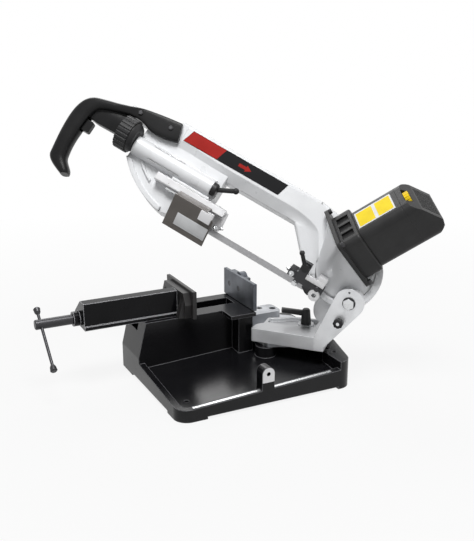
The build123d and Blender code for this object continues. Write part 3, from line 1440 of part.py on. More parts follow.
with BuildPart() as handle_front:
    with BuildSketch(WHEEL.offset(HANDLE_MID)):
        add(handle_plan.sketch)
        span((HANDLE_NECK - GRIP_REACH, HANDLE_NECK), (-70, 170), Mode.INTERSECT)
    extrude(amount=HANDLE_HALF)
    fillet(handle_front.edges().group_by(FRONT_AXIS)[-1].sort_by(BOW_AXIS)[:-1], GRIP_ROUND)
    with BuildSketch(WHEEL.offset(WEB_FRONT)):
        add(handle_plan.sketch)
        span((HANDLE_NECK - 26, -460), (-70, 170), Mode.INTERSECT)
    extrude(amount=ROOT_FRONT - WEB_FRONT)
    fillet(handle_front.edges().group_by(FRONT_AXIS)[-1], ROOT_ROUND)
    trigger_slot()
    for x, y in HANDLE_SCREWS:
        wheel_rod(x, y, WEB_FRONT - 1, ROOT_FRONT + 1, 2.5, Mode.SUBTRACT)
save(handle_front, "handle_front")

with BuildPart() as handle_back:
    with BuildSketch(WHEEL.offset(HANDLE_MID)):
        add(handle_plan.sketch)
        span((HANDLE_NECK - GRIP_REACH, HANDLE_NECK), (-70, 170), Mode.INTERSECT)
    extrude(amount=-HANDLE_HALF)
    fillet(handle_back.edges().group_by(FRONT_AXIS)[0].sort_by(BOW_AXIS)[:-1], GRIP_ROUND)
    trigger_slot()
save(handle_back, "handle_back")

with BuildPart() as trigger:
    brick(WHEEL, TRIGGER_X, TRIGGER_Y, TRIGGER_C)
    fillet(trigger.edges().filter_by(FRONT_AXIS).group_by(BOW_AXIS)[-1], 4.0)
save(trigger, "trigger")

# Small screws of the rear cover and handle, and the bolts of the motor flange and right guide
with BuildPart() as bow_screws:
    screw_heads = [(at(WHEEL, x, y, FRAME_BACK - 9), WHEEL.z_dir) for x, y in COVER_SCREWS]
    screw_heads += [(at(WHEEL, x, y, ROOT_FRONT + 3), -WHEEL.z_dir) for x, y in HANDLE_SCREWS]
    for start, inward in screw_heads:
        add(spin_profile(start, start + inward, [(0, 3.5), (1, 4.8), (3, 4.8), (3, 2.5), (9, 2.5)]))
save(bow_screws, "bow_screws")

with BuildPart() as bow_bolts:
    bolt_heads = [(at(MOTOR, p, q, FLANGE_START + 14), -MOTOR.z_dir) for p, q in FLANGE_BOLTS]
    bolt_heads.append((at(BOW, PAD_X, PAD_Y, POST_FACE + 6), -BOW.z_dir))
    for start, inward in bolt_heads:
        add(spin_profile(start, start + inward, [(0, 4.5), (1, 5.5), (6, 5.5), (6, 3), (14, 3)]))
save(bow_bolts, "bow_bolts")
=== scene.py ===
import json
import math

import bmesh
import bpy
from mathutils import Matrix, Vector
from mathutils.geometry import interpolate_bezier


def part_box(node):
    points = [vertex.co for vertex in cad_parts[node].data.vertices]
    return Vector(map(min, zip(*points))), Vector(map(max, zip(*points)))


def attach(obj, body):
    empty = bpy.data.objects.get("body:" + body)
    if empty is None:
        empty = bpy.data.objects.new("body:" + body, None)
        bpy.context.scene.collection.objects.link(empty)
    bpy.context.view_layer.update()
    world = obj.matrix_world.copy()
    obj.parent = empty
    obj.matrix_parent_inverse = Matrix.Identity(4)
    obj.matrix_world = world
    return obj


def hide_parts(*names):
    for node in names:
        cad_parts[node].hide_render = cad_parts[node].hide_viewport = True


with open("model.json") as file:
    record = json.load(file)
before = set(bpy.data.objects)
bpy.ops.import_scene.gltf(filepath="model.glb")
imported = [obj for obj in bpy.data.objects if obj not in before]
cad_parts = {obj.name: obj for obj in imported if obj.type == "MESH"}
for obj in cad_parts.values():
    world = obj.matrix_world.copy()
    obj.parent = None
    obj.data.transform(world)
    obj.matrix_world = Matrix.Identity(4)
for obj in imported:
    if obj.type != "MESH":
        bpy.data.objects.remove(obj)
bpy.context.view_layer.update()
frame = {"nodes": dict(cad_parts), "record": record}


# Base casting: one iron casting with a tray, a leaning bed and corner feet.
# It is sprayed with black gloss enamel over the as-cast skin, which leaves a slight orange peel.
# Its edges carry a faint painted highlight: the enamel is lighter where the rounded normal leaves the
# face's own.
def finish(name, colour, rough, metal=0.0, gloss=0.5):
    material = bpy.data.materials.new(name)
    material.use_nodes = True
    shader = material.node_tree.nodes["Principled BSDF"]
    shader.inputs["Base Color"].default_value = (*colour, 1.0)
    shader.inputs["Roughness"].default_value = rough
    shader.inputs["Metallic"].default_value = metal
    shader.inputs["Specular IOR Level"].default_value = gloss
    return material


def object_noise(material, scale, detail=4.0, stretch=(1.0, 1.0, 1.0)):
    tree = material.node_tree
    place = tree.nodes.new("ShaderNodeTexCoord")
    mapping = tree.nodes.new("ShaderNodeMapping")
    mapping.inputs["Scale"].default_value = stretch
    noise = tree.nodes.new("ShaderNodeTexNoise")
    noise.inputs["Scale"].default_value = scale
    noise.inputs["Detail"].default_value = detail
    tree.links.new(place.outputs["Object"], mapping.inputs["Vector"])
    tree.links.new(mapping.outputs["Vector"], noise.inputs["Vector"])
    return noise


def grain(material, scale, depth, edge=0.0008, stretch=(1.0, 1.0, 1.0)):
    tree = material.node_tree
    noise = object_noise(material, scale, 3.0, stretch)
    bump = tree.nodes.new("ShaderNodeBump")
    bump.inputs["Strength"].default_value = 0.35
    bump.inputs["Distance"].default_value = depth
    soft_edge = tree.nodes.new("ShaderNodeBevel")
    soft_edge.samples = 4
    soft_edge.inputs["Radius"].default_value = edge
    tree.links.new(noise.outputs["Fac"], bump.inputs["Height"])
    tree.links.new(soft_edge.outputs["Normal"], bump.inputs["Normal"])
    tree.links.new(bump.outputs["Normal"], tree.nodes["Principled BSDF"].inputs["Normal"])


def mottle(material, dark, light, scale, low=0.35, high=0.65, stretch=(1.0, 1.0, 1.0)):
    tree = material.node_tree
    noise = object_noise(material, scale, 5.0, stretch)
    ramp = tree.nodes.new("ShaderNodeValToRGB")
    ramp.color_ramp.elements[0].position = low
    ramp.color_ramp.elements[0].color = (*dark, 1.0)
    ramp.color_ramp.elements[1].position = high
    ramp.color_ramp.elements[1].color = (*light, 1.0)
    tree.links.new(noise.outputs["Fac"], ramp.inputs["Fac"])
    tree.links.new(ramp.outputs["Color"], tree.nodes["Principled BSDF"].inputs["Base Color"])


def scuff(material, scale, smooth, rough):
    tree = material.node_tree
    noise = object_noise(material, scale, 6.0)
    spread = tree.nodes.new("ShaderNodeMapRange")
    spread.inputs["From Min"].default_value = 0.3
    spread.inputs["From Max"].default_value = 0.7
    spread.inputs["To Min"].default_value = smooth
    spread.inputs["To Max"].default_value = rough
    tree.links.new(noise.outputs["Fac"], spread.inputs["Value"])
    tree.links.new(spread.outputs["Result"], tree.nodes["Principled BSDF"].inputs["Roughness"])


# Painted highlight: near edges and in corners, where the rounded normal leaves the face's own, the
# base colour is mixed toward a lighter one.
def paint_edge_highlight(material, colour, width):
    tree = material.node_tree
    shader = tree.nodes["Principled BSDF"]
    plain_colour = shader.inputs["Base Color"].links[0].from_socket
    round_normal = tree.nodes.new("ShaderNodeBevel")
    round_normal.samples = 6
    round_normal.inputs["Radius"].default_value = width
    surface = tree.nodes.new("ShaderNodeNewGeometry")
    agreement = tree.nodes.new("ShaderNodeVectorMath")
    agreement.operation = "DOT_PRODUCT"
    highlight_share = tree.nodes.new("ShaderNodeMapRange")
    highlight_share.inputs["From Min"].default_value = 0.99
    highlight_share.inputs["From Max"].default_value = 0.84
    highlight_mix = tree.nodes.new("ShaderNodeMix")
    highlight_mix.data_type = "RGBA"
    highlight_mix.inputs["B"].default_value = (*colour, 1.0)
    tree.links.new(round_normal.outputs["Normal"], agreement.inputs[0])
    tree.links.new(surface.outputs["Normal"], agreement.inputs[1])
    tree.links.new(agreement.outputs["Value"], highlight_share.inputs["Value"])
    tree.links.new(highlight_share.outputs["Result"], highlight_mix.inputs["Factor"])
    tree.links.new(plain_colour, highlight_mix.inputs["A"])
    tree.links.new(highlight_mix.outputs["Result"], shader.inputs["Base Color"])


def paint(material, *names):
    for name in names:
        for place in frame["nodes"][name].material_slots:
            place.material = material


black_enamel = finish("black_enamel", (0.005, 0.005, 0.006), 0.24, gloss=0.26)
grain(black_enamel, 260.0, 0.0003, edge=0.0025)
mottle(black_enamel, (0.004, 0.004, 0.005), (0.007, 0.007, 0.008), 14.0)
scuff(black_enamel, 9.0, 0.2, 0.28)
# Faint painted highlight along the casting's edges.
paint_edge_highlight(black_enamel, (0.17, 0.17, 0.18), 0.003)
paint(black_enamel, "base_casting", "slide_key")


# Milled face of the stop rod lug: bright bare iron in the shape of an arch round the bore.
# It is a thin ring whose outer edge runs round above the bore and square below it.
def plane_of(origin, x_dir, z_dir):
    turn = Matrix((x_dir, z_dir.cross(x_dir), z_dir)).transposed().to_4x4()
    return Matrix.Translation(origin) @ turn


def closed_line(bm, plane, outline, height):
    corners = [bm.verts.new(plane @ Vector((x, y, height))) for x, y in outline]
    return [bm.edges.new((corners[index - 1], corners[index])) for index in range(len(corners))]


def thicken(bm, plane, faces, rise):
    raised = bmesh.ops.extrude_face_region(bm, geom=faces)["geom"]
    corners = [item for item in raised if isinstance(item, bmesh.types.BMVert)]
    bmesh.ops.translate(bm, verts=corners, vec=plane.to_3x3() @ Vector((0, 0, rise)))


def add_ring(bm, plane, outer, inner, low, high):
    edges = closed_line(bm, plane, outer, low) + closed_line(bm, plane, inner, low)
    thicken(bm, plane, bmesh.ops.bridge_loops(bm, edges=edges)["faces"], high - low)


def soften(bm, width):
    bmesh.ops.bevel(
        bm, geom=bm.edges[:], offset=width, segments=2, profile=0.5, affect="EDGES", material=-1
    )


def show(bm, name, material, body, crease=32.0):
    bmesh.ops.remove_doubles(bm, verts=bm.verts[:], dist=0.000001)
    bmesh.ops.recalc_face_normals(bm, faces=bm.faces[:])
    mesh = bpy.data.meshes.new(name)
    bm.to_mesh(mesh)
    bm.free()
    mesh.shade_smooth()
    mesh.set_sharp_from_angle(angle=math.radians(crease))
    mesh.materials.append(material)
    piece = bpy.data.objects.new(name, mesh)
    bpy.context.collection.objects.link(piece)
    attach(piece, body)
    return piece


mounts = {mount["name"]: mount for mount in frame["record"]["mounts"]}
bore = Vector(mounts["stop_rod_bore"]["pos_m"])
base_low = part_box("base_casting")[0]
LUG_FACE_R = 0.0127
LUG_FACE_DROP = 0.017
LUG_FACE_THICK = 0.0004
BORE_R = 0.0042
TURN_STEPS = 48
turns = [math.tau * step / TURN_STEPS for step in range(TURN_STEPS)]


def lug_reach(turn):
    if math.sin(turn) >= 0:
        return LUG_FACE_R
    return min(LUG_FACE_R / max(abs(math.cos(turn)), 0.001), LUG_FACE_DROP / -math.sin(turn))


lug_front = plane_of(Vector((bore.x, base_low[1], bore.z)), Vector((1, 0, 0)), Vector((0, -1, 0)))
bm = bmesh.new()
add_ring(
    bm,
    lug_front,
    [(lug_reach(turn) * math.cos(turn), lug_reach(turn) * math.sin(turn)) for turn in turns],
    [(BORE_R * math.cos(turn), BORE_R * math.sin(turn)) for turn in turns],
    0.0,
    LUG_FACE_THICK,
)
milled_iron = finish("milled_iron", (0.7, 0.7, 0.71), 0.35, metal=0.6)
grain(milled_iron, 900.0, 0.0002, edge=0.0002, stretch=(0.1, 1.0, 1.0))
show(bm, "lug_face", milled_iron, "base")

# Ruler strip: bare aluminium tape, brushed along its length.
# It lies on the front rim in two lengths, one each side of the lug.
ruler_metal = finish("ruler_metal", (0.72, 0.73, 0.74), 0.32, metal=0.9)
grain(ruler_metal, 900.0, 0.0002, edge=0.0002, stretch=(0.05, 1.0, 1.0))
scuff(ruler_metal, 40.0, 0.25, 0.4)
paint(ruler_metal, "ruler_strip")


# Ruler marks: black lines every 5 mm, longer at every 10.
# They are stamped along the front edge of the tape, and stop short of the lug.
def add_slab(bm, plane, outline, low, high):
    face = bm.faces.new([bm.verts.new(plane @ Vector((x, y, low))) for x, y in outline])
    thicken(bm, plane, [face], high - low)


def oblong(left, right, low, high):
    return [(left, low), (right, low), (right, high), (left, high)]


RIM_RISE_X = 0.048
RIM_RISE_Y = 0.075
TAPE_THICK = 0.0008
MARK_STEP = 0.005
MARK_HALF = 0.0003
MARK_START = 0.0004
LONG_MARK = 0.0046
SHORT_MARK = 0.0028
MARK_THICK = 0.0001
LUG_GAP = 0.0165
tape_low, tape_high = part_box("ruler_strip")
rim_along = Vector((1.0, 0.0, RIM_RISE_X)).normalized()
rim_up = Vector((-RIM_RISE_X, -RIM_RISE_Y, 1.0)).normalized()
tape = plane_of(Vector(tape_low), rim_along, rim_up)
bm = bmesh.new()
for count in range(1, int((tape_high[0] - tape_low[0]) / MARK_STEP)):
    reach = count * MARK_STEP
    if abs(tape_low[0] + reach - bore.x) > LUG_GAP:
        mark_end = LONG_MARK if count % 2 == 0 else SHORT_MARK
        mark = oblong(reach - MARK_HALF, reach + MARK_HALF, MARK_START, mark_end)
        add_slab(bm, tape, mark, TAPE_THICK, TAPE_THICK + MARK_THICK)
mark_ink = finish("mark_ink", (0.01, 0.01, 0.01), 0.6)
grain(mark_ink, 900.0, 0.0001, edge=0.0001)
show(bm, "ruler_marks", mark_ink, "base")

# Fixed jaw of the vise: ground steel plate on a cast back, blued dark so that it does not rust.
# The countersunk screws of both jaws are blackened, and so are those of the sector and the bow.
jaw_steel = finish("jaw_steel", (0.11, 0.12, 0.135), 0.42, metal=0.75)
grain(jaw_steel, 420.0, 0.0004, edge=0.001, stretch=(1.0, 0.15, 1.0))
mottle(jaw_steel, (0.08, 0.088, 0.10), (0.15, 0.16, 0.18), 22.0)
paint(jaw_steel, "fixed_jaw_plate", "fixed_jaw")
black_steel = finish("black_steel", (0.05, 0.05, 0.053), 0.36, metal=0.85)
grain(black_steel, 700.0, 0.0002, edge=0.0005)
scuff(black_steel, 60.0, 0.28, 0.45)
paint(black_steel, "fixed_jaw_screws", "moving_jaw_screws", "sector_screws")
paint(black_steel, "bow_screws", "bow_bolts")

# Vise slide and moving jaw: pressed box of black enamelled steel with a round boss for the screw.
# The edges of the box carry a bright painted highlight.
# The jaw on its end is cast, with a plate, both under a duller dark grey enamel.
slide_enamel = finish("slide_enamel", (0.003, 0.003, 0.004), 0.2, gloss=0.14)
grain(slide_enamel, 320.0, 0.0002, edge=0.0022)
mottle(slide_enamel, (0.002, 0.002, 0.003), (0.005, 0.005, 0.006), 18.0)
# Bright painted highlight along the slide's edges.
paint_edge_highlight(slide_enamel, (0.7, 0.7, 0.73), 0.0026)
paint(slide_enamel, "vise_slide")
jaw_enamel = finish("jaw_enamel", (0.032, 0.031, 0.031), 0.38, gloss=0.3)
grain(jaw_enamel, 320.0, 0.0002, edge=0.0016)
mottle(jaw_enamel, (0.028, 0.027, 0.027), (0.036, 0.035, 0.035), 18.0)
paint(jaw_enamel, "moving_jaw", "moving_jaw_plate")

# Vise screw with its sliding bar: oiled black steel, with turned caps on the bar.
# The nut of the screw and the one under the sector have the same finish.
paint(black_steel, "vise_screw", "tommy_bar", "tommy_caps", "vise_nut", "mitre_nut")

# Mitre sector and swivel arm: bare aluminium castings, milled flat where they slide.
# The arm's upward-facing top is painted darker than its sides, as painted shade under the bow, and is
# told apart by the way it faces.
bare_casting = finish("bare_casting", (0.42, 0.43, 0.45), 0.4, metal=0.8)
grain(bare_casting, 380.0, 0.0005, edge=0.0014)
mottle(bare_casting, (0.34, 0.35, 0.37), (0.5, 0.51, 0.53), 20.0)
scuff(bare_casting, 30.0, 0.3, 0.5)
paint(bare_casting, "angle_sector")
arm_casting = finish("arm_casting", (0.8, 0.81, 0.825), 0.36, metal=0.6)
grain(arm_casting, 420.0, 0.0004, edge=0.0016)
mottle(arm_casting, (0.74, 0.75, 0.765), (0.86, 0.87, 0.885), 16.0)
scuff(arm_casting, 30.0, 0.28, 0.45)
# Painted shade: faces of the arm that point up are mixed toward a darker grey.
tree = arm_casting.node_tree
facing = tree.nodes.new("ShaderNodeTexCoord")
split_facing = tree.nodes.new("ShaderNodeSeparateXYZ")
shaded_top_share = tree.nodes.new("ShaderNodeMapRange")
shaded_top_share.inputs["From Min"].default_value = 0.75
shaded_top_share.inputs["From Max"].default_value = 0.95
shaded_top = tree.nodes.new("ShaderNodeMix")
shaded_top.data_type = "RGBA"
shaded_top.inputs["B"].default_value = (0.37, 0.375, 0.385, 1.0)
shader = tree.nodes["Principled BSDF"]
cast_colour = shader.inputs["Base Color"].links[0].from_socket
tree.links.new(facing.outputs["Normal"], split_facing.inputs["Vector"])
tree.links.new(split_facing.outputs["Z"], shaded_top_share.inputs["Value"])
tree.links.new(shaded_top_share.outputs["Result"], shaded_top.inputs["Factor"])
tree.links.new(cast_colour, shaded_top.inputs["A"])
tree.links.new(shaded_top.outputs["Result"], shader.inputs["Base Color"])
paint(arm_casting, "swivel_arm")

# Bolts, pins and axles: turned steel.
# The shoulder bolts of the hinge are blackened, and the rest is zinc plated.
zinc = finish("zinc", (0.66, 0.67, 0.68), 0.28, metal=1.0)
grain(zinc, 800.0, 0.0002, edge=0.0006)
scuff(zinc, 50.0, 0.2, 0.36)
paint(black_steel, "hinge_bolts")
paint(zinc, "pivot_pin", "drive_shaft", "idler_axle", "tension_slide", "tension_screw")
paint(zinc, "left_roller_pins", "right_roller_pins")

# Hexagon heads of the two hinge bolts: zinc plated, with a chamfered top.
# They stand on the turned shoulders, outside the near and the far ear.
HEX_R = 0.0118
HEX_STEP = TURN_STEPS // 6
HEX_CHAMFER = 0.0007
HEAD_LOW = 0.0022
HEAD_HIGH = 0.0086
NEAR_EAR = 0.0235
FAR_EAR = 0.0855
joints = {joint["name"]: joint for joint in frame["record"]["behaviour"]["joints"]}
hinge = Vector(joints["bow_swing"]["pos_m"])
hinge_axis = Vector(joints["bow_swing"]["axis"])
hexagon = [(HEX_R * math.cos(turn), HEX_R * math.sin(turn)) for turn in turns[::HEX_STEP]]
bm = bmesh.new()
for reach, way in ((NEAR_EAR, 1.0), (FAR_EAR, -1.0)):
    ear_face = plane_of(hinge + hinge_axis * reach * way, Vector((0, 0, 1)), hinge_axis * way)
    add_slab(bm, ear_face, hexagon, HEAD_LOW, HEAD_HIGH)
soften(bm, HEX_CHAMFER)
show(bm, "hinge_hexagons", zinc, "swivel")

# Levers and knobs: moulded black nylon with a fine spark-eroded grain.
# Each turns on its own stud or screw.
black_nylon = finish("black_nylon", (0.012, 0.012, 0.013), 0.45, gloss=0.3)
grain(black_nylon, 1100.0, 0.0003, edge=0.0012)
mottle(black_nylon, (0.009, 0.009, 0.010), (0.016, 0.016, 0.017), 40.0)
paint(black_nylon, "mitre_lever", "stop_knob", "guide_lever", "right_guide_lever", "tension_knob")


# Scalloped grip of the stop knob: nylon moulded over the turned core.
# A zinc plated insert shows in its face.
def add_turning(bm, plane, profile):
    corners = [bm.verts.new(plane @ Vector((radius, 0.0, height))) for height, radius in profile]
    edges = [bm.edges.new(pair) for pair in zip(corners, corners[1:])]
    bmesh.ops.spin(
        bm,
        geom=corners + edges,
        cent=plane.translation,
        axis=plane.to_3x3() @ Vector((0, 0, 1)),
        angle=math.tau,
        steps=TURN_STEPS,
        use_merge=True,
    )


def scallop(bm, plane, lobes, depth):
    back = plane.inverted()
    for corner in bm.verts:
        local = back @ corner.co
        swell = 1.0 + depth * math.cos(lobes * math.atan2(local.y, local.x))
        corner.co = plane @ Vector((local.x * swell, local.y * swell, local.z))


knob_axis = Vector(joints["stop_knob_turn"]["axis"])
knob_middle = Vector(joints["stop_knob_turn"]["pos_m"])
knob_seat = knob_middle - knob_axis * ((knob_middle - hinge).dot(knob_axis) + NEAR_EAR)
grip_plane = plane_of(knob_seat, Vector((0, 0, 1)), -knob_axis)
GRIP_PROFILE = (
    (0.0055, 0.0),
    (0.0055, 0.008),
    (0.0062, 0.0098),
    (0.0142, 0.0098),
    (0.0156, 0.0084),
    (0.0162, 0.0062),
    (0.0162, 0.0),
)
GRIP_LOBES = 8
LOBE_DEPTH = 0.045
INSERT_PROFILE = ((0.0155, 0.0), (0.0155, 0.0034), (0.0165, 0.0034), (0.0168, 0.003), (0.0168, 0.0))
bm = bmesh.new()
add_turning(bm, grip_plane, GRIP_PROFILE)
scallop(bm, grip_plane, GRIP_LOBES, LOBE_DEPTH)
show(bm, "stop_knob_grip", black_nylon, "stop_knob")
bm = bmesh.new()
add_turning(bm, grip_plane, INSERT_PROFILE)
show(bm, "stop_knob_insert", zinc, "stop_knob")

# Bow casting with its covers: aluminium, sprayed bright silver white under a satin lacquer.
# The covers are screwed on from behind.
bow_silver = finish("bow_silver", (0.76, 0.77, 0.785), 0.34, metal=0.06)
grain(bow_silver, 300.0, 0.0004, edge=0.003)
mottle(bow_silver, (0.74, 0.75, 0.765), (0.78, 0.79, 0.805), 12.0)
scuff(bow_silver, 24.0, 0.26, 0.38)
paint(bow_silver, "bow_frame", "drive_cover", "rear_cover", "gearbox_housing")

# Throat of the casting: the beam's bar widens, bends round the throat and runs in under the gear case.
# Below the bar the metal hollows out into the web over the right blade guide.
# It is one casting with the bow, lofted from its front edge to its back.
DRIVE_X = -0.038
WHEEL_Y = 0.0683
WEB_FRONT = 0.017
WEB_BACK = -0.016
BAR_FRONT = 0.0243
BAR_TOP = 0.1615
BAR_LEFT = -0.430
BAR_EDGE = (
    ((BAR_LEFT, 0.1300), (-0.360, 0.1250), (-0.300, 0.1262), (-0.205, 0.1262)),
    ((-0.205, 0.1262), (-0.175, 0.1262), (-0.140, 0.1200), (-0.126, 0.1075)),
    ((-0.126, 0.1075), (-0.121, 0.1030), (-0.118, 0.0960), (-0.0985, 0.0630)),
)
WEB_EDGE = (
    ((BAR_LEFT, 0.1038), (-0.360, 0.1038), (-0.300, 0.1038), (-0.215, 0.1038)),
    ((-0.215, 0.1038), (-0.200, 0.1038), (-0.190, 0.1038), (-0.1795, 0.1030)),
    ((-0.1795, 0.1030), (-0.160, 0.0820), (-0.130, 0.0480), (-0.1010, 0.0165)),
)
EDGE_STEPS = 20
BEAM_FALL = 0.0136
BLEND_START = EDGE_STEPS - 1
BLEND_STEPS = EDGE_STEPS
HOLLOW = ((0.0, 0.0), (0.2, 0.0046), (0.38, 0.0064), (0.55, 0.0069), (0.93, 0.0071), (1.0, 0.009))
along = Vector(joints["tension_travel"]["axis"])
front = Vector(joints["drive_spin"]["axis"])
upward = front.cross(along)
wheel_origin = Vector(joints["drive_spin"]["pos_m"]) - along * DRIVE_X - upward * WHEEL_Y
wheel_plane = plane_of(wheel_origin, along, front)


def add_loft(bm, plane, sections):
    loops = []
    for section in sections:
        corners = [bm.verts.new(plane @ Vector(point)) for point in section]
        edges = [bm.edges.new((corners[index - 1], corners[index])) for index in range(len(corners))]
        loops.append(edges)
    for near, far in zip(loops, loops[1:]):
        bmesh.ops.bridge_loops(bm, edges=near + far)
    for end in (loops[0], loops[-1]):
        bmesh.ops.edgeloop_fill(bm, edges=end)


def swept_edge(curves):
    line = [Vector(curves[0][0]).to_3d()]
    for curve in curves:
        line += interpolate_bezier(*[Vector(point) for point in curve], EDGE_STEPS)[1:]
    return line


bar_edge = swept_edge(BAR_EDGE)
web_edge = swept_edge(WEB_EDGE)
top_edge = [(-0.06, 0.06), (-0.06, 0.13), (-0.105, 0.152), (-0.15, BAR_TOP), (BAR_LEFT, BAR_TOP)]
sections = [[(x, y, WEB_BACK) for x, y in [point.to_2d() for point in web_edge] + top_edge]]
for share, fall in reversed(HOLLOW):
    section = []
    for step, (upper, lower) in enumerate(zip(bar_edge, web_edge)):
        blend = min(max(step - BLEND_START, 0) / BLEND_STEPS, 1.0)
        depth = BEAM_FALL * share + (fall - BEAM_FALL * share) * blend
        section.append((*upper.lerp(lower, share).to_2d(), BAR_FRONT - depth))
    sections.append(section + [(x, y, BAR_FRONT - fall) for x, y in top_edge])
bm = bmesh.new()
add_loft(bm, wheel_plane, sections)
show(bm, "throat_bend", bow_silver, "bow", crease=20.0)

# Gear case: cast hood between the drive housing and the motor, painted with the bow.
# It flares from a round foot on the housing to the square of the flange, and clears the near ear.
CASE_X = -0.040
CASE_Y = 0.069
CASE_FOOT_R = 0.062
CASE_HALF = 0.061
CASE_END = 0.0188
CASE_STEPS = 10
CASE_POINTS = 96
CASE_SQUARE = 8.0
CASE_WAIST = 0.35
FLANGE_START = 135.0
FOOT_SINK = 0.0005
EAR_GAP = 0.0125
EAR_ROOM = 0.0425
FOOT_TURNS = (59.0, -11.0, -121.0, -219.0, -301.0)
DIAL_ASIDE = math.atan2(0.003, 0.028)
motor_axis = Vector(joints["rotor_spin"]["axis"])
motor_origin = Vector(joints["rotor_spin"]["pos_m"])
to_dial = Vector(joints["speed_dial_turn"]["pos_m"]) - motor_origin
label_up = (to_dial - motor_axis * to_dial.dot(motor_axis)).normalized()
label_up.rotate(Matrix.Rotation(-DIAL_ASIDE, 3, motor_axis))
motor_plane = plane_of(motor_origin, motor_axis.cross(label_up), motor_axis)
bow_plane = plane_of(hinge, along, hinge_axis)


def foot_point(share):
    spans = len(FOOT_TURNS) - 1
    corner = min(int(share * spans), spans - 1)
    start, end = FOOT_TURNS[corner], FOOT_TURNS[corner + 1]
    turn = math.radians(start + (end - start) * (share * spans - corner))
    reach = Vector((math.cos(turn), math.sin(turn), 0.0)) * CASE_FOOT_R
    return Vector((CASE_X, CASE_Y, WEB_FRONT)) + reach


def flange_point(share):
    turn = math.radians(FLANGE_START) - math.tau * share
    squareness = abs(math.cos(turn)) ** CASE_SQUARE + abs(math.sin(turn)) ** CASE_SQUARE
    reach = CASE_HALF / squareness ** (1 / CASE_SQUARE)
    place = motor_plane @ Vector((reach * math.cos(turn), reach * math.sin(turn), CASE_END))
    return wheel_plane.inverted() @ place


def clear_of_ear(point):
    local = bow_plane.inverted() @ (wheel_plane @ point)
    reach = math.hypot(local.x, local.y)
    if local.z > EAR_GAP and reach < EAR_ROOM:
        if local.z - EAR_GAP < EAR_ROOM - reach:
            local.z = EAR_GAP
        else:
            local.x *= EAR_ROOM / reach
            local.y *= EAR_ROOM / reach
    return wheel_plane.inverted() @ (bow_plane @ local)


sections = []
for step in range(CASE_STEPS + 1):
    rise = step / CASE_STEPS
    section = []
    for count in range(CASE_POINTS):
        foot = foot_point(count / CASE_POINTS)
        end = flange_point(count / CASE_POINTS)
        waist = foot.lerp(Vector((end.x, end.y, WEB_FRONT)), CASE_WAIST)
        point = foot.lerp(waist, rise).lerp(waist.lerp(end, rise), rise)
        point.z = max(point.z, WEB_FRONT - FOOT_SINK)
        section.append(clear_of_ear(point))
    sections.append(section)
bm = bmesh.new()
add_loft(bm, wheel_plane, sections)
gear_case = show(bm, "gear_case", bow_silver, "bow")
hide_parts("gearbox_housing")

# Tail of the bow: cast lug that hangs between the hinge ears, below the drive housing.
# It is one casting with the bow, rounded all over.
# It stays clear of the near ear and of the stop knob's pin.
TAIL_BACK = -0.012
TAIL_FRONT = 0.0075
TAIL_ROUND = 0.006
TAIL_SIDE = 0.018
TAIL_TOP = 0.014
RIM_ANGLE = math.radians(60)
TAIL_EDGE = (
    ((-0.065, TAIL_TOP), (-0.060, -0.005), (-0.062, -0.030), (-0.059, -0.046)),
    ((-0.059, -0.046), (-0.056, -0.062), (-0.045, -0.075), (-0.028, -0.075)),
    ((-0.028, -0.075), (-0.006, -0.075), (0.010, -0.056), (TAIL_SIDE, -0.030)),
)
bm = bmesh.new()
tail_outline = [tuple(point.to_2d()) for point in swept_edge(TAIL_EDGE)] + [(TAIL_SIDE, TAIL_TOP)]
add_slab(bm, bow_plane, tail_outline, TAIL_BACK, TAIL_FRONT)
rims = [edge for edge in bm.edges if edge.calc_face_angle(0.0) > RIM_ANGLE]
bmesh.ops.bevel(
    bm,
    geom=rims,
    offset=TAIL_ROUND,
    segments=5,
    profile=0.5,
    affect="EDGES",
    material=-1,
    clamp_overlap=True,
)
show(bm, "bow_tail", bow_silver, "bow", crease=40.0)

# Collar of the tension knob: black nylon, moulded with the knob.
# It is turned in shape, and tapers to the end of the ridge.
TENSION_LINE = (0.083, 0.0325)
COLLAR_LEFT = -0.5571
COLLAR_RIGHT = -0.5464
bm = bmesh.new()
collar_plane = plane_of(wheel_plane @ Vector((COLLAR_LEFT, *TENSION_LINE)), front, along)
collar_long = COLLAR_RIGHT - COLLAR_LEFT
collar_profile = (
    (0.0, 0.0),
    (0.0, 0.0325),
    (0.003, 0.032),
    (collar_long - 0.002, 0.028),
    (collar_long, 0.026),
    (collar_long, 0.0),
)
add_turning(bm, collar_plane, collar_profile)
show(bm, "knob_collar", black_nylon, "tension_knob")

# Beam strip: black printed tape on the front of the beam.
# It is glued flat, with slanted ends.
strip_black = finish("strip_black", (0.006, 0.006, 0.007), 0.4, gloss=0.1)
grain(strip_black, 500.0, 0.0001, edge=0.0003)
paint(strip_black, "beam_strip")

# Red field and running arrow on the strip: a second printed layer.
# The field fills the handle end, with the slant of the strip's end.
STRIP_FACE = 0.025
INK_THICK = 0.0002
strip_red = finish("strip_red", (0.36, 0.012, 0.008), 0.4, gloss=0.12)
grain(strip_red, 500.0, 0.0001, edge=0.0003)
mottle(strip_red, (0.33, 0.01, 0.006), (0.39, 0.014, 0.01), 30.0)
red_field = [(-0.4555, 0.16), (-0.375, 0.16), (-0.3838, 0.1325), (-0.4642, 0.1325)]
arrow = [
    (-0.338, 0.1496),
    (-0.321, 0.1496),
    (-0.321, 0.1535),
    (-0.308, 0.1462),
    (-0.321, 0.139),
    (-0.321, 0.143),
    (-0.338, 0.143),
]
bm = bmesh.new()
for outline in (red_field, arrow):
    add_slab(bm, wheel_plane, outline, STRIP_FACE, STRIP_FACE + INK_THICK)
show(bm, "strip_print", strip_red, "bow")

# Band: hardened steel strip with a bright ground side.
# It runs in one loop round both wheels and through the guides.
band_steel = finish("band_steel", (0.4, 0.4, 0.41), 0.32, metal=0.8)
grain(band_steel, 900.0, 0.0002, edge=0.0002, stretch=(0.2, 1.0, 1.0))
mottle(band_steel, (0.37, 0.37, 0.38), (0.43, 0.43, 0.44), 240.0)
paint(band_steel, "blade")

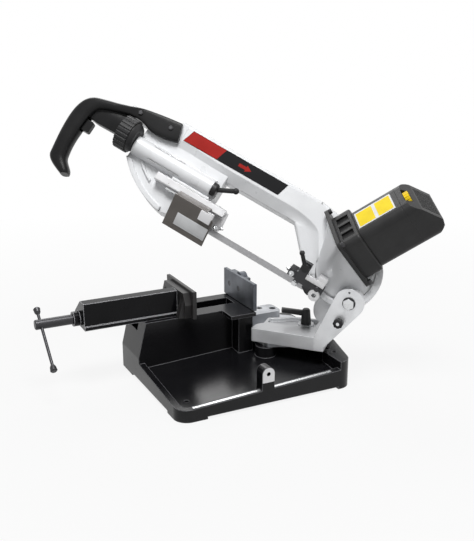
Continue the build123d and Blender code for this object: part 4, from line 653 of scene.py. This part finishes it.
# Teeth along the cutting edge of the straight run: steel points, one with the band.
# They are ground, and set left and right in turn.
BLADE_EDGE = -0.0341
BLADE_HALF = 0.0003
TOOTH_PITCH = 0.003
TOOTH_DEPTH = 0.0013
TOOTH_SET = 0.0002
TOOTH_LEAN = 0.75
ROOT_SINK = 0.0001
RUN_LEFT = -0.345
RUN_RIGHT = -0.095
bm = bmesh.new()
for count in range(int((RUN_RIGHT - RUN_LEFT) / TOOTH_PITCH)):
    left = RUN_LEFT + count * TOOTH_PITCH
    lean = TOOTH_SET if count % 2 else -TOOTH_SET
    root = BLADE_EDGE + ROOT_SINK
    tip = (left + TOOTH_PITCH * TOOTH_LEAN, BLADE_EDGE - TOOTH_DEPTH, lean - BLADE_HALF)
    points = [(left, root, -BLADE_HALF), (left + TOOTH_PITCH, root, -BLADE_HALF), tip]
    side = bm.faces.new([bm.verts.new(bow_plane @ Vector(point)) for point in points])
    thicken(bm, bow_plane, [side], 2 * BLADE_HALF)
show(bm, "blade_teeth", band_steel, "bow")

# Wheels, gear and rotor inside the bow: turned aluminium wheels and a bronze worm gear.
# The rotor of the motor is bare laminated steel.
paint(bare_casting, "drive_wheel", "idler_wheel")
bronze = finish("bronze", (0.55, 0.36, 0.14), 0.34, metal=1.0)
grain(bronze, 600.0, 0.0003, edge=0.0004)
mottle(bronze, (0.46, 0.3, 0.11), (0.62, 0.42, 0.17), 40.0)
paint(bronze, "worm_gear")
core_steel = finish("core_steel", (0.32, 0.27, 0.24), 0.4, metal=0.9)
grain(core_steel, 900.0, 0.0004, edge=0.0004)
paint(core_steel, "motor_rotor")

# Guides: bright steel bar on the left and black block on the right, with zinc plated rollers.
# The bar slides in the lips of the casting, and the block is bolted to its pad.
guide_steel = finish("guide_steel", (0.6, 0.6, 0.61), 0.34, metal=0.6)
grain(guide_steel, 600.0, 0.0003, edge=0.0008)
scuff(guide_steel, 40.0, 0.26, 0.44)
paint(guide_steel, "guide_bar")
paint(black_steel, "right_guide_block")
for end in ("left", "right"):
    paint(zinc, f"{end}_near_roller", f"{end}_far_roller", f"{end}_back_roller")

# Nuts and adjusting screws of the two guides: zinc plated, with washers and turned stud ends.
# Each holds a roller pin or sets the play of the block.
WASHER_THICK = 0.001
WASHER_SHARE = 1.3
NUT_SHARE = 0.8
STUD_SHARE = 0.55
STUD_RISE = 1.5
STUD_LOW = 0.002
STUD_CHAMFER = 0.0006
STUD_TIP = 0.75


def add_nut(bm, place, pointing, reach):
    aside = pointing.orthogonal().normalized()
    seat = plane_of(place, aside, pointing)
    washer = reach * WASHER_SHARE
    add_turning(bm, seat, [(0.0, 0.0), (0.0, washer), (WASHER_THICK, washer), (WASHER_THICK, 0.0)])
    across = [(reach * math.cos(turn), reach * math.sin(turn)) for turn in turns[::HEX_STEP]]
    add_slab(bm, seat, across, WASHER_THICK, WASHER_THICK + reach * NUT_SHARE)
    stud = reach * STUD_SHARE
    top = WASHER_THICK + reach * STUD_RISE
    shoulder = top - STUD_CHAMFER
    stud_side = [(STUD_LOW, stud), (shoulder, stud), (top, stud * STUD_TIP)]
    add_turning(bm, seat, [(STUD_LOW, 0.0), *stud_side, (top, 0.0)])


above_bow = hinge_axis.cross(along)
GUIDE_PLACES = (
    ("right", "bow", -0.115, -0.001, -1.0),
    ("left", "guide", -0.325, 0.020, 1.0),
)
ROLLER_OFF = 0.0071
HEAD_HALF = 0.014
HEAD_REACH = 0.022
BACK_ROLLER = (0.014, -0.0143)
BACK_NUT_RISE = 0.004
SET_SCREW = (-0.008, 0.004)
SIDE_NUT_R = 0.0048
BACK_NUT_R = 0.0042
SET_SCREW_R = 0.0045
for end, body, guide_x, head_top, side in GUIDE_PLACES:
    bm = bmesh.new()
    for way in (-ROLLER_OFF, ROLLER_OFF):
        add_nut(bm, bow_plane @ Vector((guide_x, head_top, way)), above_bow, SIDE_NUT_R)
    back_x = guide_x + BACK_ROLLER[0] * side
    back_place = Vector((back_x, BACK_ROLLER[1] + BACK_NUT_RISE, HEAD_HALF))
    add_nut(bm, bow_plane @ back_place, hinge_axis, BACK_NUT_R)
    head_end = guide_x + HEAD_REACH * side
    add_nut(bm, bow_plane @ Vector((head_end, *SET_SCREW)), along * side, SET_SCREW_R)
    show(bm, f"{end}_guide_nuts", zinc, body)

# Rail, end block and eye of the right guide: bright milled iron, bolted on the black block.
# The eye is turned and drilled for the guide's clamp stud.
RAIL = (-0.099, -0.058, -0.0005, 0.0105)
RAIL_DEPTH = (0.0215, 0.029)
END_BLOCK = (-0.0765, -0.0575, 0.0095, 0.021)
END_DEPTH = (0.0145, 0.0275)
GUIDE_EDGE = 0.0008
EYE = (-0.068, -0.0225, 0.012)
EYE_PROFILE = (
    (0.0, 0.0045),
    (0.0, 0.0115),
    (0.0125, 0.0125),
    (0.0145, 0.0115),
    (0.0145, 0.0045),
    (0.0, 0.0045),
)
bm = bmesh.new()
add_slab(bm, bow_plane, oblong(*RAIL), *RAIL_DEPTH)
add_slab(bm, bow_plane, oblong(*END_BLOCK), *END_DEPTH)
soften(bm, GUIDE_EDGE)
add_turning(bm, plane_of(bow_plane @ Vector(EYE), along, hinge_axis), EYE_PROFILE)
show(bm, "right_guide_rail", milled_iron, "bow")

# Side plate of the right guide: blackened steel, cut from flat stock.
# It is screwed on the front of the block, and hangs down beside the rollers.
SIDE_PLATE = (
    (-0.098, -0.013),
    (-0.074, -0.009),
    (-0.074, -0.018),
    (-0.080, -0.032),
    (-0.087, -0.030),
    (-0.098, -0.022),
)
SIDE_DEPTH = (0.0135, 0.0205)
bm = bmesh.new()
add_slab(bm, bow_plane, SIDE_PLATE, *SIDE_DEPTH)
soften(bm, GUIDE_EDGE)
show(bm, "right_guide_plate", black_steel, "bow")

# Blade guard: folded sheet steel, painted dark.
# It hangs on the guide bar in front of the band.
guard_paint = finish("guard_paint", (0.115, 0.105, 0.096), 0.42, gloss=0.35)
grain(guard_paint, 700.0, 0.0003, edge=0.0006)
mottle(guard_paint, (0.105, 0.095, 0.087), (0.125, 0.114, 0.105), 30.0)
paint(guard_paint, "blade_guard")

# Bare white plate on the guard: thin enamelled sheet.
# It is glued flat on the guard's front.
GUARD_FACE = 0.0485
GUARD_PLATE = (-0.386, -0.3145, -0.0345, -0.0075)
PLATE_THICK = 0.0005
PLATE_EDGE = 0.0002
bm = bmesh.new()
add_slab(bm, bow_plane, oblong(*GUARD_PLATE), GUARD_FACE, GUARD_FACE + PLATE_THICK)
soften(bm, PLATE_EDGE)
plate_white = finish("plate_white", (0.66, 0.67, 0.68), 0.4)
grain(plate_white, 600.0, 0.0001, edge=0.0002)
mottle(plate_white, (0.63, 0.64, 0.65), (0.69, 0.7, 0.71), 40.0)
show(bm, "guard_plate", plate_white, "guide")

# Clip that holds the guard to the guide bar: bright milled block.
# It grips over the guard's upper corner.
CLIP = (-0.3435, -0.3165, 0.0025, 0.0235)
CLIP_DEPTH = (0.040, 0.0535)
CLIP_EDGE = 0.001
bm = bmesh.new()
add_slab(bm, bow_plane, oblong(*CLIP), *CLIP_DEPTH)
soften(bm, CLIP_EDGE)
show(bm, "guard_clip", milled_iron, "guide")

# Motor: moulded black glass-filled nylon shells, bolted to the gear case.
# A yellow thumb wheel in its top sets the speed.
motor_nylon = finish("motor_nylon", (0.014, 0.014, 0.0145), 0.42, gloss=0.32)
grain(motor_nylon, 1000.0, 0.0003, edge=0.002)
mottle(motor_nylon, (0.011, 0.011, 0.0115), (0.018, 0.018, 0.0185), 30.0)
paint(motor_nylon, "motor_flange", "motor_housing", "motor_end_cap")
yellow_nylon = finish("yellow_nylon", (0.85, 0.6, 0.004), 0.42, gloss=0.3)
grain(yellow_nylon, 1000.0, 0.0002, edge=0.0006)
mottle(yellow_nylon, (0.8, 0.55, 0.003), (0.9, 0.65, 0.005), 60.0)
paint(yellow_nylon, "speed_dial")

# Bare rating plate on the motor's upper face: pale foil with two plain yellow fields.
# It is glued flat on the moulding.
LABEL_FACE = 0.046
FOIL = (0.069, 0.148, -0.0255, 0.0225)
FOIL_THICK = 0.0004
FIELDS = ((0.072, 0.106), (0.113, 0.145))
FIELD_SIDES = (-0.0225, 0.0195)
label_plane = plane_of(motor_origin + label_up * LABEL_FACE, motor_axis, label_up)
bm = bmesh.new()
add_slab(bm, label_plane, oblong(*FOIL), 0.0, FOIL_THICK)
show(bm, "rating_foil", plate_white, "bow")
foil_yellow = finish("foil_yellow", (0.82, 0.62, 0.002), 0.45, gloss=0.2)
grain(foil_yellow, 600.0, 0.0001, edge=0.0002)
mottle(foil_yellow, (0.78, 0.58, 0.001), (0.85, 0.65, 0.003), 40.0)
bm = bmesh.new()
for left, right in FIELDS:
    add_slab(bm, label_plane, oblong(left, right, *FIELD_SIDES), FOIL_THICK, FOIL_THICK + INK_THICK)
show(bm, "rating_fields", foil_yellow, "bow")

# Handle and trigger: moulded black nylon with a slight gloss.
# Two halves are screwed together round the switch, and the trigger slides between them.
grip_nylon = finish("grip_nylon", (0.012, 0.012, 0.0125), 0.3, gloss=0.14)
grain(grip_nylon, 900.0, 0.0002, edge=0.003)
mottle(grip_nylon, (0.010, 0.010, 0.0105), (0.014, 0.014, 0.0145), 30.0)
paint(grip_nylon, "handle_front", "handle_back", "trigger")

# Shell of the handle: one flowing form for both halves, flat on the beam and full in the hand.
# It is lofted along the grip, with a switch box in its inner corner.
# A pocket in its inner side leaves room for the trigger.
SHELL_OUTER = (
    ((-0.484, 0.1610), (-0.505, 0.1590), (-0.527, 0.1562), (-0.548, 0.1525)),
    ((-0.548, 0.1525), (-0.566, 0.1495), (-0.584, 0.1455), (-0.600, 0.1418)),
    ((-0.600, 0.1418), (-0.630, 0.1350), (-0.655, 0.1295), (-0.678, 0.1225)),
    ((-0.678, 0.1225), (-0.700, 0.1150), (-0.7095, 0.0930), (-0.7098, 0.0610)),
    ((-0.7098, 0.0610), (-0.7100, 0.0300), (-0.7045, 0.0000), (-0.7000, -0.0290)),
    ((-0.7000, -0.0290), (-0.6975, -0.0440), (-0.675, -0.0510), (-0.655, -0.0585)),
)
SHELL_INNER = (
    ((-0.472, 0.1230), (-0.497, 0.1120), (-0.530, 0.1100), (-0.548, 0.1175)),
    ((-0.548, 0.1175), (-0.560, 0.1225), (-0.580, 0.1245), (-0.596, 0.1235)),
    ((-0.596, 0.1235), (-0.615, 0.1180), (-0.640, 0.1120), (-0.656, 0.1035)),
    ((-0.656, 0.1035), (-0.666, 0.0960), (-0.6660, 0.0800), (-0.6675, 0.0600)),
    ((-0.6675, 0.0600), (-0.6700, 0.0300), (-0.6710, 0.0080), (-0.6635, -0.0200)),
    ((-0.6635, -0.0200), (-0.6590, -0.0330), (-0.6400, -0.0380), (-0.6410, -0.0500)),
)
ROOT_MIDDLE, ROOT_HALF, ROOT_SQUARE = 0.0246, 0.0074, 6.0
GRIP_MIDDLE, GRIP_HALF, GRIP_SQUARE = 0.004, 0.018, 2.8
SWELL_START = 1.25
SWELL_LONG = 1.1
TIP_START = 5.5
TIP_TAPER = 0.55
POCKET_Y = (0.042, 0.076)
POCKET_C = (-0.0075, 0.0155)
POCKET_MOUTH = -0.676
POCKET_FLOOR = -0.686
SWITCH_BACK = -0.012
SWITCH_FRONT = 0.010
SWITCH_EDGE = 0.002
SWITCH_BOX = (
    (-0.670, 0.098),
    (-0.650, 0.110),
    (-0.590, 0.126),
    (-0.590, 0.082),
    (-0.598, 0.0765),
    (-0.650, 0.0755),
    (-0.670, 0.078),
)


def bulge(value, power):
    return math.copysign(abs(value) ** (2 / power), value)


sections = []
for step, (outer, inner) in enumerate(zip(swept_edge(SHELL_OUTER), swept_edge(SHELL_INNER))):
    place = step / EDGE_STEPS
    swell = min(max((place - SWELL_START) / SWELL_LONG, 0.0), 1.0)
    swell = swell * swell * (3 - 2 * swell)
    middle = ROOT_MIDDLE + (GRIP_MIDDLE - ROOT_MIDDLE) * swell
    square = ROOT_SQUARE + (GRIP_SQUARE - ROOT_SQUARE) * swell
    half = ROOT_HALF + (GRIP_HALF - ROOT_HALF) * swell
    half *= 1.0 - TIP_TAPER * max((place - TIP_START) / (len(SHELL_OUTER) - TIP_START), 0.0) ** 3
    section = []
    for turn in turns:
        across = (outer + inner) / 2 + (outer - inner) / 2 * bulge(math.cos(turn), square)
        point = Vector((across.x, across.y, middle + half * bulge(math.sin(turn), square)))
        in_pocket = POCKET_Y[0] < point.y < POCKET_Y[1] and POCKET_C[0] < point.z < POCKET_C[1]
        if in_pocket and point.x > POCKET_MOUTH:
            point.x = POCKET_FLOOR
        section.append(point)
    sections.append(section)
bm = bmesh.new()
add_slab(bm, wheel_plane, SWITCH_BOX, SWITCH_BACK, SWITCH_FRONT)
soften(bm, SWITCH_EDGE)
add_loft(bm, wheel_plane, sections)
handle_shell = show(bm, "handle_shell", grip_nylon, "bow")
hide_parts("handle_front", "handle_back")


# Studio: white floor that keeps the shadow, pale world and three soft lamps.
# The camera sees floor and world as white, and the object gets their weaker light.
def white_for_camera(tree):
    path = tree.nodes.new("ShaderNodeLightPath")
    seen = tree.nodes.new("ShaderNodeMath")
    seen.operation = "MAXIMUM"
    tree.links.new(path.outputs["Is Camera Ray"], seen.inputs[0])
    tree.links.new(path.outputs["Is Glossy Ray"], seen.inputs[1])
    through = tree.nodes.new("ShaderNodeMath")
    through.operation = "MAXIMUM"
    tree.links.new(seen.outputs["Value"], through.inputs[0])
    tree.links.new(path.outputs["Is Transmission Ray"], through.inputs[1])
    return through.outputs["Value"]


world = bpy.data.worlds.new("studio_world")
bpy.context.scene.world = world
world.use_nodes = True
sky = world.node_tree
sky_light = sky.nodes["Background"]
sky_light.inputs["Color"].default_value = (1.0, 1.0, 1.0, 1.0)
strength = sky.nodes.new("ShaderNodeMapRange")
strength.inputs["To Min"].default_value = 0.16
strength.inputs["To Max"].default_value = 1.0
sky.links.new(white_for_camera(sky), strength.inputs["Value"])
sky.links.new(strength.outputs["Result"], sky_light.inputs["Strength"])

FLOOR_HALF = 30.0
FLOOR_DROP = 0.0005
mesh = bpy.data.meshes.new("floor")
bm = bmesh.new()
bmesh.ops.create_grid(bm, x_segments=1, y_segments=1, size=FLOOR_HALF)
bm.to_mesh(mesh)
bm.free()
floor = bpy.data.objects.new("floor", mesh)
bpy.context.collection.objects.link(floor)
floor.location.z = -FLOOR_DROP
floor_paint = finish("floor_paint", (0.55, 0.55, 0.55), 0.9)
tree = floor_paint.node_tree
glow = tree.nodes.new("ShaderNodeEmission")
glow.inputs["Color"].default_value = (1.0, 1.0, 1.0, 1.0)
blend = tree.nodes.new("ShaderNodeMixShader")
floor_place = tree.nodes.new("ShaderNodeTexCoord")
middle_reach = tree.nodes.new("ShaderNodeVectorMath")
middle_reach.operation = "LENGTH"
tree.links.new(floor_place.outputs["Object"], middle_reach.inputs[0])
whiter = tree.nodes.new("ShaderNodeMapRange")
whiter.inputs["From Min"].default_value = 0.45
whiter.inputs["From Max"].default_value = 1.6
whiter.inputs["To Min"].default_value = 0.88
whiter.inputs["To Max"].default_value = 1.0
tree.links.new(middle_reach.outputs["Value"], whiter.inputs["Value"])
share = tree.nodes.new("ShaderNodeMath")
share.operation = "MULTIPLY"
tree.links.new(white_for_camera(tree), share.inputs[0])
tree.links.new(whiter.outputs["Result"], share.inputs[1])
tree.links.new(share.outputs["Value"], blend.inputs["Fac"])
tree.links.new(tree.nodes["Principled BSDF"].outputs["BSDF"], blend.inputs[1])
tree.links.new(glow.outputs["Emission"], blend.inputs[2])
tree.links.new(blend.outputs["Shader"], tree.nodes["Material Output"].inputs["Surface"])
mesh.materials.append(floor_paint)


def soft_lamp(name, place, target, size, power):
    lamp = bpy.data.lights.new(name, "AREA")
    lamp.shape = "SQUARE"
    lamp.size = size
    lamp.energy = power
    stand = bpy.data.objects.new(name, lamp)
    bpy.context.collection.objects.link(stand)
    stand.location = place
    stand.rotation_euler = (Vector(target) - Vector(place)).to_track_quat("-Z", "Y").to_euler()


soft_lamp("key_lamp", (-0.35, -0.8, 2.7), (0.0, 0.0, 0.25), 1.0, 62.0)
soft_lamp("fill_lamp", (1.9, -1.3, 1.3), (0.1, 0.0, 0.25), 1.6, 8.0)
soft_lamp("rim_lamp", (0.4, 1.8, 2.0), (0.0, 0.0, 0.3), 1.2, 20.0)

# Camera: it stands at the place and looks at the angle of the photograph.
# The lens follows from the solved focal length.
CAMERA_PLACE = (-0.7097, -1.4111, 0.7007)
CAMERA_AHEAD = (0.430, 0.855, -0.289)
LENS_MM = 54.1
SENSOR_MM = 36.0
camera_data = bpy.data.cameras.new("photo_camera")
camera_data.lens = LENS_MM
camera_data.sensor_width = SENSOR_MM
camera = bpy.data.objects.new("photo_camera", camera_data)
bpy.context.collection.objects.link(camera)
camera.location = CAMERA_PLACE
camera.rotation_euler = Vector(CAMERA_AHEAD).to_track_quat("-Z", "Y").to_euler()
bpy.context.scene.camera = camera
bpy.context.scene.view_settings.view_transform = "Standard"
